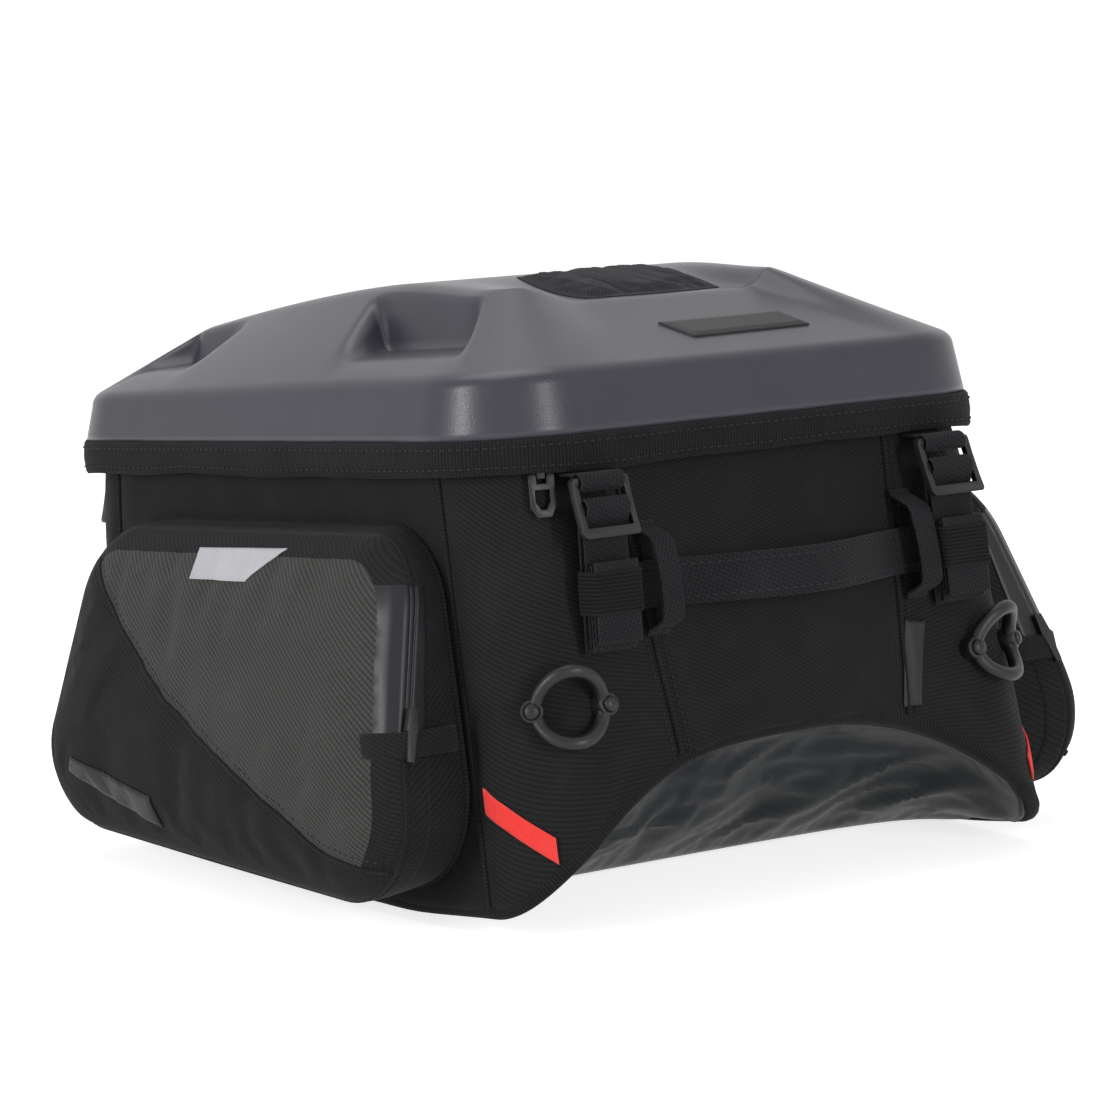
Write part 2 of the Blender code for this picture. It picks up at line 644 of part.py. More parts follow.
def build_lid(carrier):
    """Make the moulded shell with its four notches, the rim binding and the soft insert."""
    low_corner = BODY_CORNER + OVERHANG - SHELL_STEP
    shoulder_x, shoulder_y = SHELL_X - SKIRT_DRAFT, SHELL_Y - SKIRT_DRAFT
    top_half_y = (TOP_FRONT - TOP_REAR) / 2
    top_middle = (TOP_FRONT + TOP_REAR) / 2

    half = [0.45, 0.8, 1.0, 1.25, 1.5, 1.74, 1.82, 1.9, 2.0, 2.15, 2.27, 2.33, 2.55, 2.82, 2.88, 2.94]
    half += [3.0, 3.18, 3.26, 3.5, 3.75, 4.0, 4.25]
    stations = [0.0] + half + [4.5] + [9.0 - station for station in half[::-1]]

    def in_notch(station, margin):
        near = min(station, 9.0 - station)
        return any(start - margin < near < end + margin for start, end in NOTCHES)

    def slope(share, notched, under=False):
        points = []
        for station in stations:
            flat = plan(station, mix(shoulder_x, TOP_HALF_X, share), mix(shoulder_y, top_half_y, share),
                        mix(low_corner - SKIRT_DRAFT, TOP_CORNER, share), top_middle * share)
            edge = plan(station, TOP_HALF_X, top_half_y, TOP_CORNER, top_middle)
            height = mix(shoulder_height(flat.y), top_height(edge.x, edge.y), share)
            if notched and in_notch(station, NOTCH_MARGIN if under else 0.0):
                height = shoulder_height(flat.y) + NOTCH_LIFT
            points.append(Vector((flat.x, flat.y, height - (SHELL if under else 0.0))))
        return points

    def skirt(inset, drop):
        points = []
        for station in stations:
            flat = plan(station, SHELL_X - inset, SHELL_Y - inset, low_corner - inset)
            height = SHELL_LOW if drop is None else shoulder_height(flat.y) - drop
            points.append(Vector((flat.x, flat.y, height)))
        return points

    def crown(width, drop):
        points = []
        for station in stations:
            flat = plan(station, TOP_HALF_X * width, top_half_y * mix(CROWN_PINCH, 1.0, width),
                        TOP_CORNER * width / 2, top_middle)
            points.append(Vector((flat.x, flat.y, top_height(flat.x, flat.y) - drop)))
        return points

    draft = SKIRT_DRAFT * 0.9
    widths = (CROWN_MIDDLE, -DISH_SPAN[0], DISH_SPAN[1], DISH_END)
    rings = [crown(width, SHELL) for width in widths] + [slope(0.97, False, True)]
    rings += [slope(0.86, True, True), slope(0.45, True, True), slope(0.14, True, True)]
    rings += [skirt(draft + SHELL, SHOULDER_ROUND + SHELL / 2), skirt(SHELL, None), skirt(0.0, None)]
    rings += [skirt(draft, SHOULDER_ROUND), slope(0.05, False), slope(0.12, True), slope(0.45, True)]
    rings += [slope(0.80, True), slope(0.90, False), slope(0.97, False)]
    rings += [crown(width, 0.0) for width in widths[::-1]]
    keep("lid_shell", sealed(rings), EVA, carrier)

    profile = [(OVERHANG, BINDING_LOW), (OVERHANG, BINDING_HIGH), (-TAPE_INSET + FIT, BINDING_HIGH),
               (-TAPE_INSET + FIT, BINDING_HIGH - FLANGE), (OVERHANG - BINDING_THICK, BINDING_HIGH - FLANGE),
               (OVERHANG - BINDING_THICK, BINDING_LOW)]
    turns = round_stations(0.0, 9.0)
    flat_ring = []
    for out, z in profile + profile[:1]:
        spots = [plan(s, BODY_WIDTH / 2 + out, BODY_DEPTH / 2 + out, BODY_CORNER + out) for s in turns[:-1]]
        flat_ring.append([Vector((p.x, p.y, z)) for p in spots])
    rim = loft(flat_ring)
    bmesh.ops.remove_doubles(rim, verts=rim.verts, dist=1e-6)
    keep("lid_binding", rim, BINDING, carrier)

    wide, front = INSERT_SIZE[0] / 2, CREST_Y - INSERT_GAP
    rear = front - INSERT_SIZE[1]
    left, right = INSERT_X - wide, INSERT_X + wide
    corners = [(left, rear), (right, rear), (right, front), (left, front)]
    steps = ((0.0, FIT), (0.0, FIT + INSERT_THICK / 2), (INSERT_EDGE, FIT + INSERT_THICK))
    pad = sealed([[(p.x, p.y, top_height(INSERT_X, p.y) + rise)
                   for p in rounded(shrunk(corners, inset), [INSERT_CORNER - inset] * 4)]
                  for inset, rise in steps])
    keep("lid_top_insert", pad, INSERT, carrier)


def build_main_zip(lid, run, swing):
    """Make both halves of the main zip, the hinge tape, the slider and its pull."""
    def tape(name, start, end, low, high, carrier=None):
        def place(u, z, side):
            out = -TAPE_INSET - TAPE * side
            flat = plan(u, BODY_WIDTH / 2 + out, BODY_DEPTH / 2 + out, BODY_CORNER + out)
            return Vector((flat.x, flat.y, z))
        keep(name, slab(round_stations(start, end), [low, high], place), ZIP, carrier)

    web = BINDING_HIGH - FLANGE
    tape("body_zip_tape", 5.5, 12.5, BODY_HEIGHT + FIT, TEETH_Z)
    tape("lid_zip_tape", 5.5, 12.5, TEETH_Z + FIT, BINDING_HIGH, lid)
    tape("lid_hinge_tape", 3.51, 5.49, BODY_HEIGHT + FIT, web - FIT)

    angle = math.radians(SLIDER_ARC)
    outward = Vector((-math.sin(angle), -math.cos(angle), 0.0))
    along = Vector((math.cos(angle), -math.sin(angle), 0.0))
    face = Vector((-CORNER_X, -CORNER_Y, 0.0)) + outward * BODY_CORNER

    def at(across, out, z):
        return face + along * across + outward * out + Vector((0, 0, z))

    inner = -TAPE_INSET + FIT
    outer = inner + SLIDER_DEPTH
    low = TEETH_Z - SLIDER_HEIGHT / 2 - 0.001
    high = low + SLIDER_HEIGHT
    half = SLIDER_WIDTH / 2
    tip = TONGUE_WIDTH / 2
    foot = BINDING_LOW - PULL_PIVOT_DROP - 0.0015
    back = outer - TONGUE_DEPTH
    block = prism([at(-half, inner, low), at(half, inner, low), at(half * 0.7, inner, high),
                   at(-half * 0.7, inner, high)], outward * SLIDER_DEPTH)
    slider = keep("main_zip_slider", block, HARDWARE, run)
    tongue = prism([at(-tip, back, foot), at(tip, back, foot), at(tip, back, low + 0.001),
                    at(-tip, back, low + 0.001)], outward * TONGUE_DEPTH)
    joined(slider, tongue)

    arm = tip + FIT
    wide = PULL_HALF_WIDTH
    outline = [(arm, 0.0), (arm, -0.0035), (-arm, -0.0035), (-arm, 0.0), (-arm - 0.0006, 0.0014),
               (-wide + 0.0006, 0.0014), (-wide, 0.0), (-wide, -PULL_LENGTH * 0.75),
               (-wide * 0.55, -PULL_LENGTH), (wide * 0.55, -PULL_LENGTH), (wide, -PULL_LENGTH * 0.75),
               (wide, 0.0), (wide - 0.0006, 0.0014), (arm + 0.0006, 0.0014)]
    window = [(-wide * 0.55, -0.0065), (-wide * 0.55, -PULL_LENGTH * 0.62), (-wide * 0.2, -PULL_LENGTH * 0.8),
              (wide * 0.2, -PULL_LENGTH * 0.8), (wide * 0.55, -PULL_LENGTH * 0.62), (wide * 0.55, -0.0065)]
    tab = plate([outline, window], PULL_THICK)
    for vert in tab.verts:
        vert.co.z -= REAR_LEAN * vert.co.y
    centre = at(0.0, back + TONGUE_DEPTH / 2, BINDING_LOW - PULL_PIVOT_DROP)
    turn = Matrix((along, Vector((0, 0, 1)), outward)).transposed().to_4x4()
    tab.transform(Matrix.Translation(centre) @ turn)
    keep("main_zip_pull", tab, HARDWARE, swing)


def strap_path():
    """Return the webbing's path through the buckle and into its folded bundle, as (out, z)."""
    bar = (LOCK_BARS[1][0] + LOCK_BARS[1][1]) / 2
    bar_out = LOCK_TILT * (-bar - LOCK_BEND)
    bar_half = (LOCK_BARS[1][1] - LOCK_BARS[1][0]) / 2
    reach = math.hypot(bar_half, LOCK_THICK / 2 + LOCK_TILT * bar_half) + FIT + WEB_THICK / 2
    behind = bar_out - reach
    first = behind + 0.0035
    fold = BUNDLE_PITCH / 2
    path = [(first + 3 * BUNDLE_PITCH, -BUNDLE_TOP + 0.001)]
    path += arc((first + 2.5 * BUNDLE_PITCH, -STRAP_END + 0.006), fold, 0, -180, 4)
    path += arc((first + 1.5 * BUNDLE_PITCH, -BUNDLE_TOP - 0.002), fold, 0, 180, 4)
    path += arc((first + 0.5 * BUNDLE_PITCH, -STRAP_END + 0.003), fold, 0, -180, 4)
    path += [(first, -0.030), (first, -0.0225), (first + 0.0007, -0.0200), (first + 0.0026, -0.0165)]
    path += arc((bar_out, bar), reach, -36, 180, 9)
    path += [(behind, -0.020), (behind, -STRAP_END)]
    return path


def build_strap(name, x, face, swing):
    """Make one fastening strap: anchor loop, ladder-lock, webbing tail and elastic keeper.

    face is -1 at the rear and 1 at the front. All but the anchor swing about the buckle's top bar.
    """
    pivot_y = BODY_DEPTH / 2 + PIVOT_OUT
    pivot_z = BINDING_LOW - PIVOT_DROP

    lean = BASE_SLOPE if face > 0 else 0.0

    def at(across, out, z):
        return Vector((x - face * across, face * (pivot_y + out - lean * min(z, 0.0)), pivot_z + z))

    def webbing(path, thickness, half):
        outline = [at(-half, out, z) for out, z in ribbon(path, thickness)]
        return prism(outline, at(half, 0, 0) - at(-half, 0, 0))

    bar = math.hypot(LOCK_BARS[0][1], LOCK_THICK / 2) + FIT + WEB_THICK / 2
    under = BINDING_LOW - pivot_z - WEB_THICK / 2 - 2 * FIT
    seat = -PIVOT_OUT + flare(pivot_z + under, REAR_FLARE if face < 0 else BODY_FLARE) + FIT + WEB_THICK / 2
    inside = OVERHANG - BINDING_THICK - PIVOT_OUT
    hook = [(seat, BODY_HEIGHT - pivot_z - FIT), (seat, under + FIT)]
    hook += [(mix(seat, inside, 0.5), under - 3 * FIT), (mix(inside, 0.0, 0.3), under - 3 * FIT)]
    hook += arc((0, 0), bar, 125, 440, 12)
    keep(f"{name}_anchor", webbing(hook, WEB_THICK, WEBBING / 2), WEB)

    wide = LOCK_HALF_WIDTH
    top, mid, low = LOCK_BARS
    slot = wide - LOCK_RAIL
    outer = rounded([(-wide, low[0]), (wide, low[0]), (wide, top[1]), (-wide, top[1])], [0.002] * 4, 2)
    holes = [[(-slot, b[1]), (slot, b[1]), (slot, a[0]), (-slot, a[0])] for a, b in ((top, mid), (mid, low))]
    lock = plate([outer] + holes, LOCK_THICK)
    for cut in (-0.006, -0.0118, -0.017, -0.0228):
        geometry = lock.verts[:] + lock.edges[:] + lock.faces[:]
        bmesh.ops.bisect_plane(lock, geom=geometry, plane_co=(0, cut, 0), plane_no=(0, 1, 0))
    for vert in lock.verts:
        across, z, out = vert.co
        curl = 0.10 * max(-z - 0.016, 0.0) ** 2 / 0.009
        vert.co = at(across, out + LOCK_TILT * max(-z - LOCK_BEND, 0.0) + curl, z)
    keep(f"{name}_buckle", lock, HARDWARE, swing)

    path = strap_path()
    keep(f"{name}_tail", webbing(path, WEB_THICK, WEBBING / 2), WEB, swing)

    near = min(p[0] for p in path) - WEB_THICK / 2 - 2 * FIT
    far = max(p[0] for p in path[:5]) + WEB_THICK / 2 + FIT
    half = WEBBING / 2 + FIT
    inside = [(-half, near), (half, near), (half, far), (-half, far)]
    grown = [(-half - KEEPER_THICK, near - KEEPER_THICK), (half + KEEPER_THICK, near - KEEPER_THICK),
             (half + KEEPER_THICK, far + KEEPER_THICK), (-half - KEEPER_THICK, far + KEEPER_THICK)]
    band = plate([grown, inside], KEEPER_HEIGHT)
    for vert in band.verts:
        across, out, z = vert.co
        vert.co = at(across, out, z - KEEPER_TOP - KEEPER_HEIGHT / 2)
    keep(f"{name}_keeper", band, ELASTIC, swing)


def build_handle(slide):
    """Make the carry handle and the two webbing loops it runs through."""
    low, high = HANDLE_Z - HANDLE_HEIGHT / 2, HANDLE_Z + HANDLE_HEIGHT / 2
    seat = flare(low, REAR_FLARE) + FIT + HANDLE_THICK / 2
    path = []
    for step in range(17):
        x = mix(-HANDLE_HALF, HANDLE_HALF, step / 16)
        bow = HANDLE_BOW * math.cos(math.pi * x / (2 * HANDLE_HALF)) ** 2
        path.append((HANDLE_X + x, -BODY_DEPTH / 2 - seat - bow))
    outline = [Vector((p.x, p.y, low)) for p in ribbon(path, HANDLE_THICK)]
    rise = Vector((0, REAR_LEAN * HANDLE_HEIGHT, HANDLE_HEIGHT))
    keep("carry_handle", prism(outline, rise), WEB, slide)

    tall = LOOP_TOP - LOOP_BOTTOM
    shape = ((0.0, 0.0), (0.05, 0.12), (0.13, 0.75), (0.2, 0.93), (0.5, 1.0), (0.8, 0.93), (0.87, 0.75),
             (0.95, 0.12), (1.0, 0.0))
    for side, name in ((-1, "left"), (1, "right")):
        path = []
        middle = HANDLE_X + side * LOOP_SPAN
        for up, bow in shape:
            z = LOOP_BOTTOM + tall * up
            seat = flare(z, REAR_FLARE) + bulge(abs(middle) - LOOP_WIDTH / 2, z) + 2 * FIT + WEB_THICK / 2
            path.append((seat + LOOP_BOW * bow, z))
        outline = [Vector((middle - LOOP_WIDTH / 2, -BODY_DEPTH / 2 - p.x, p.y))
                   for p in ribbon(path, WEB_THICK)]
        keep(f"{name}_handle_loop", prism(outline, Vector((LOOP_WIDTH, 0, 0))), WEB)


def disc(centre, axis, radii, heights):
    """Return a turned button: circles of the given radii at heights along the axis."""
    across = axis.orthogonal().normalized()
    other = axis.cross(across)
    rings = []
    for radius, height in zip(radii, heights):
        rings.append([centre + axis * height + across * radius * math.cos(a) + other * radius * math.sin(a)
                      for a in (2 * math.pi * i / 16 for i in range(16))])
    return sealed(rings)


def build_lash_rings():
    """Make the two saddle-shaped lash rings on the rear corners, with their rivets."""
    def station(along):
        if along < 0:
            return 1.0 + along / CORNER_X
        return 1.0 + along / (BODY_CORNER * math.pi / 2)

    for side, name in ((-1, "left"), (1, "right")):
        spots = []
        for shift in (-RING_PITCH / 2, RING_PITCH / 2):
            here, outward = wall_frame(station(RING_ARC + shift), RING_Z)
            if side > 0:
                here.x, outward.x = -here.x, -outward.x
            spots.append((here, outward))
        first, last = spots[0][0], spots[1][0]
        along = (last - first) / 2
        outward = (spots[0][1] + spots[1][1]).normalized()
        middle = (first + last) / 2
        loop = []
        for step in range(24):
            angle = 2 * math.pi * step / 24
            lift = RING_STAND + RING_LIFT * math.sin(angle) ** 2
            loop.append(middle + along * math.cos(angle) + outward * lift
                        + Vector((0, 0, RING_HALF_HEIGHT * math.sin(angle))))
        ring = keep(f"{name}_lash_ring", tube(loop, RING_TUBE, 2), HARDWARE)
        for end, (here, normal) in zip(("inner", "outer"), spots):
            pad = disc(here, normal, (PAD_RADIUS, PAD_RADIUS, PAD_RADIUS * 0.85),
                       (FIT, FIT + PAD_THICK + RING_STAND * 0.7, FIT + PAD_THICK + RING_STAND))
            joined(ring, pad)
            top = FIT + PAD_THICK + RING_STAND + FIT
            head = disc(here, normal, (RIVET_RADIUS, RIVET_RADIUS * 0.85, RIVET_RADIUS * 0.4),
                        (top, top + RIVET_HEIGHT * 0.6, top + RIVET_HEIGHT))
            keep(f"{name}_ring_{end}_rivet", head, HARDWARE)


def build_accents():
    """Make the accent strips that run from the pockets down to the piping."""
    for side, name in ((-1, "left"), (1, "right")):
        def place(u, v, skin):
            station = mix(STRIP_START[0], STRIP_END[0], u)
            z = mix(STRIP_START[1], STRIP_END[1], u) + v * STRIP_WIDTH / 2
            spot = wall(station, z, FIT + STRIP_THICK * skin)
            return Vector((-spot.x, spot.y, spot.z)) if side > 0 else spot
        keep(f"{name}_accent_strip", slab([i / 8 for i in range(9)], [-1, 0, 1], place), ACCENT)


def pocket_reach(z):
    """Return how far the pocket's front edge stands from the wall at a height."""
    top = POCKET_EDGE[2][1]
    share = min(max((top - z) / (top - POCKET_FULL_Z), 0.0), 1.0)
    return mix(POCKET_TOP_DEPTH, POCKET_DEPTH, share)


def pocket_outline(corners, inset):
    """Return a pocket outline, as (y, z), drawn in by an inset."""
    rounds = (POCKET_BOTTOM_ROUND, POCKET_BOTTOM_ROUND, POCKET_TOP_ROUND, POCKET_TOP_ROUND)
    radii = [max(radius - inset, POCKET_LEAST_ROUND) for radius in rounds]
    return rounded(shrunk(corners, inset), radii, 5, 3)


def build_pocket(side, name, hinge, slide):
    """Make one side pocket: gusset, zip, lower front, opening cover and slider."""
    roots = [pocket_outline(POCKET_ROOT, inset) for inset in (0.0, POCKET_WALL)]
    edges = [pocket_outline(POCKET_EDGE, inset) for inset in (0.0, POCKET_WALL)]
    count = len(roots[0])
    around = list(range(count + 1))

    def gusset(u, v, skin):
        outline = (roots, edges)[v][int(skin)]
        spot = outline[u % count]
        root = side_x(spot.x, spot.y) + 2 * FIT
        edge = BODY_WIDTH / 2 + flare(spot.y) + pocket_reach(spot.y)
        return Vector((side * (edge if v else root), spot.x, spot.y))
    keep(f"{name}_pocket_gusset", slab(around, [0, 1], gusset, ring=True), NYLON)

    def front(spot, out):
        reach = BODY_WIDTH / 2 + flare(spot.y) + pocket_reach(spot.y) + out
        return Vector((side * reach, spot.x, spot.y))

    def tape(u, v, skin):
        spot = edges[int(skin)][u % count]
        return front(spot, FIT + v * (POCKET_TAPE - FIT))
    keep(f"{name}_pocket_zip", slab(around, [0, 1], tape, ring=True), ZIP)

    start = POCKET_TAPE + FIT
    brow = POCKET_CROWN * 0.55
    outer = ((0.0, 0.0), (0.0, POCKET_LIP), (POCKET_BROW, brow), (POCKET_DOME, POCKET_CROWN))
    inner = ((POCKET_DOME + POCKET_WALL, POCKET_CROWN - POCKET_WALL),
             (POCKET_BROW + POCKET_WALL, brow - POCKET_WALL * 0.8), (POCKET_WALL, 0.0))
    dome = sealed([[front(p, start + out) for p in pocket_outline(POCKET_EDGE, inset)]
                   for inset, out in inner + outer])
    for piece, upper, finish, carrier in ((f"{name}_pocket_cover", True, GREY, hinge),
                                          (f"{name}_pocket_lower_front", False, NYLON, None)):
        half = dome.copy()
        level = POCKET_FOLD_Z + (POCKET_SPLIT / 2 if upper else -POCKET_SPLIT / 2)
        bmesh.ops.bisect_plane(half, geom=half.verts[:] + half.edges[:] + half.faces[:],
                               plane_co=(0, 0, level), plane_no=(0, 0, 1),
                               clear_inner=upper, clear_outer=not upper)
        bmesh.ops.contextual_create(half, geom=[edge for edge in half.edges if edge.is_boundary])
        keep(piece, half, finish, carrier)
    dome.free()

    rise, way = pocket_run(side)
    wide, tall, thick = POCKET_SLIDER
    outward = Vector((0.0, -way.z, way.y)).normalized()
    across = way.cross(outward)
    base = rise + outward * FIT
    shape = ((-1, 0), (1, 0), (0.7, 1), (-0.7, 1))
    block = prism([base + across * a * wide / 2 + way * (b * tall) for a, b in shape], outward * thick)
    slider = keep(f"{name}_pocket_slider", block, HARDWARE, slide)
    wide, tall, deep = POCKET_PULL
    hang = base + outward * (thick - deep) + way * 0.002
    tab = prism([hang + across * a * wide / 2 - way * (b * tall) for a, b in shape], outward * deep)
    joined(slider, tab)


def pocket_run(side):
    """Return where the pocket slider rests on the rear run of its zip, and the way it travels."""
    (low_y, low_z), (high_y, high_z) = POCKET_EDGE[0], POCKET_EDGE[3]

    def edge(z):
        share = (z - low_z) / (high_z - low_z)
        reach = BODY_WIDTH / 2 + flare(z) + pocket_reach(z) + POCKET_TAPE / 2
        return Vector((side * reach, mix(low_y, high_y, share), z))
    here = edge(POCKET_FOLD_Z + 0.004)
    return here, (edge(POCKET_FOLD_Z + 0.040) - here).normalized()


clear_scene()
PARTS = bpy.data.collections.new("tail_bag")
TOOLS = bpy.data.collections.new("tools")
bpy.context.scene.collection.children.link(PARTS)
bpy.context.scene.collection.children.link(TOOLS)

EVA = material("moulded_shell", (0.075, 0.072, 0.080), 0.55)
NYLON = material("ballistic_nylon", (0.014, 0.014, 0.015), 0.85)
GREY = material("ribbed_weave", (0.055, 0.053, 0.050), 0.9)
COATED = material("coated_fabric", (0.024, 0.029, 0.034), 0.45)
BINDING = material("edge_binding", (0.018, 0.018, 0.019), 0.9)
WEB = material("webbing", (0.016, 0.016, 0.017), 0.85)
ELASTIC = material("elastic", (0.011, 0.011, 0.011), 0.9)
INSERT = material("soft_insert", (0.030, 0.030, 0.032), 0.8)
ZIP = material("coated_zip", (0.040, 0.040, 0.044), 0.35)
ACCENT = material("accent_tape", (0.90, 0.060, 0.045), 0.7)
HARDWARE = material("moulded_hardware", (0.020, 0.020, 0.021), 0.45)
BOARD_FINISH = material("base_sheet", (0.030, 0.030, 0.030), 0.6)

build_walls()
build_base()
LID_PIVOT = pivot("lid_pivot", LID_AXIS)
build_lid(LID_PIVOT)
ZIP_RUN = pivot("main_zip_corner", Vector((-CORNER_X, -CORNER_Y, TEETH_Z)))
TURN = Vector((-math.sin(math.radians(SLIDER_ARC)), -math.cos(math.radians(SLIDER_ARC)), 0.0))
PULL_AT = Vector((-CORNER_X, -CORNER_Y, BINDING_LOW - PULL_PIVOT_DROP))
PULL_AT += TURN * (BODY_CORNER - TAPE_INSET + FIT + SLIDER_DEPTH - TONGUE_DEPTH / 2)
PULL_SWING = pivot("main_zip_pull_pivot", PULL_AT)
build_main_zip(LID_PIVOT, ZIP_RUN, PULL_SWING)
for end_name, end in (("rear", -1), ("front", 1)):
    for side_name, sign in (("left", -1), ("right", 1)):
        bar_spot = Vector((sign * STRAP_X, end * (BODY_DEPTH / 2 + PIVOT_OUT), BINDING_LOW - PIVOT_DROP))
        strap = f"{end_name}_{side_name}_strap"
        build_strap(strap, sign * STRAP_X, end, pivot(f"{strap}_pivot", bar_spot))
build_handle(pivot("handle_slide", Vector((HANDLE_X, -BODY_DEPTH / 2, HANDLE_Z))))
build_lash_rings()
build_accents()
for side_name, sign in (("left", -1), ("right", 1)):
    crease = BODY_WIDTH / 2 + flare(POCKET_FOLD_Z) + pocket_reach(POCKET_FOLD_Z)
    crease += POCKET_TAPE + FIT + POCKET_CROWN
    fold_at = Vector((sign * crease, 0.0, POCKET_FOLD_Z + POCKET_SPLIT / 2))
    fold = pivot(f"{side_name}_pocket_fold", fold_at)
    rest = pivot(f"{side_name}_pocket_slider_rest", pocket_run(sign)[0])
    build_pocket(sign, side_name, fold, rest)
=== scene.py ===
"""Looks of a tail bag: sewn walls, moulded lid, zipped side pockets, webbing and hardware.

Every piece is drawn in metres with the lid's rim level, as the part's source does, and BodyForm.settled()
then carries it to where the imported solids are.
"""
import json
import logging
import math
from dataclasses import dataclass, field
from enum import Enum
from typing import Callable, Iterable, Sequence

import bmesh
import bpy
from bmesh.types import BMesh
from bpy.types import Material, Node, NodeSocket, NodeTree, Object
from mathutils import Matrix, Vector, noise
from mathutils.bvhtree import BVHTree

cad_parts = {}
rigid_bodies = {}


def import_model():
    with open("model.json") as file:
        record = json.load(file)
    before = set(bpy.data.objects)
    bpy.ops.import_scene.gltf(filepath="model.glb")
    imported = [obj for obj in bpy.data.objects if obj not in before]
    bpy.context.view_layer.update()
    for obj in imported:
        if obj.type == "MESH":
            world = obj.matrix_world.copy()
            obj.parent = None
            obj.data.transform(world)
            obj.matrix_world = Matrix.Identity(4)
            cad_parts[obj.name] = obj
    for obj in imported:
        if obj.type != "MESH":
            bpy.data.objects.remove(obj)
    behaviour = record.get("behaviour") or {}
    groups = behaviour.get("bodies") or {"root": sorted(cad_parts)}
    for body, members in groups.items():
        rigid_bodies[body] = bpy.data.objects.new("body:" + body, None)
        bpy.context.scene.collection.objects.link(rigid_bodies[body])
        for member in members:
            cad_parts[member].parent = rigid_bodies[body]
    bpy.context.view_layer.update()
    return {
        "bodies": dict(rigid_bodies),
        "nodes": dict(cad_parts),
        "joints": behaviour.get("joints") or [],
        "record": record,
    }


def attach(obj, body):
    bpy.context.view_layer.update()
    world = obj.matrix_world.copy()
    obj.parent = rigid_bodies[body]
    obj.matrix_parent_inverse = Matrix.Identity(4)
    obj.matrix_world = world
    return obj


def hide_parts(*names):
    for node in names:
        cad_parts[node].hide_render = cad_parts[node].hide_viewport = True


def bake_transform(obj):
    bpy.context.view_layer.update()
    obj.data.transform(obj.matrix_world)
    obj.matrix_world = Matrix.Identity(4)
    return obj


LOG = logging.getLogger("tail_bag")
Place = Callable[[float, float], Vector]
Corners = tuple[tuple[float, float], ...]
SIDES = ((-1, "left"), (1, "right"))
STRAP_X = 0.1035
FRAME: dict = {}


def mix(first: float, last: float, share: float) -> float:
    """Return the value part of the way from first to last."""
    return first + (last - first) * share


def ease(share: float) -> float:
    """Return 1 falling smoothly to 0 as share goes from 0 to 1."""
    return 0.5 + 0.5 * math.cos(math.pi * min(max(share, 0.0), 1.0))


def ramp(low: float, high: float, value: float) -> float:
    """Return 0 below low, 1 above high and a smooth rise between."""
    return 1.0 - ease((value - low) / (high - low))


def near(distance: float, reach: float) -> float:
    """Return 1 at no distance, falling to nothing a few reaches away."""
    return math.exp(-((distance / reach) ** 2))


def rumple(spot: Vector, size: float) -> float:
    """Return smooth noise from -1 to 1 with lumps of the given size."""
    return noise.noise(spot / size)


def spread(count: int, low: float = 0.0, high: float = 1.0) -> list[float]:
    """Return evenly spaced values from low to high."""
    return [mix(low, high, step / (count - 1)) for step in range(count)]


def within(shape: Corners, across: float, down: float) -> Vector:
    """Return the point of a four-cornered shape at two shares, counted from its first corner."""
    first, second, third, fourth = (Vector(corner) for corner in shape)
    return first.lerp(second, across).lerp(fourth.lerp(third, across), down)


def linear(colour: str) -> tuple[float, float, float, float]:
    """Return an sRGB hex colour as linear RGBA.

    Args:
        colour: six hex digits after a hash.

    Returns:
        Linear red, green, blue and an alpha of 1.
    """
    parts = [int(colour[start:start + 2], 16) / 255 for start in (1, 3, 5)]
    values = [part / 12.92 if part <= 0.04045 else ((part + 0.055) / 1.055) ** 2.4 for part in parts]
    return values[0], values[1], values[2], 1.0


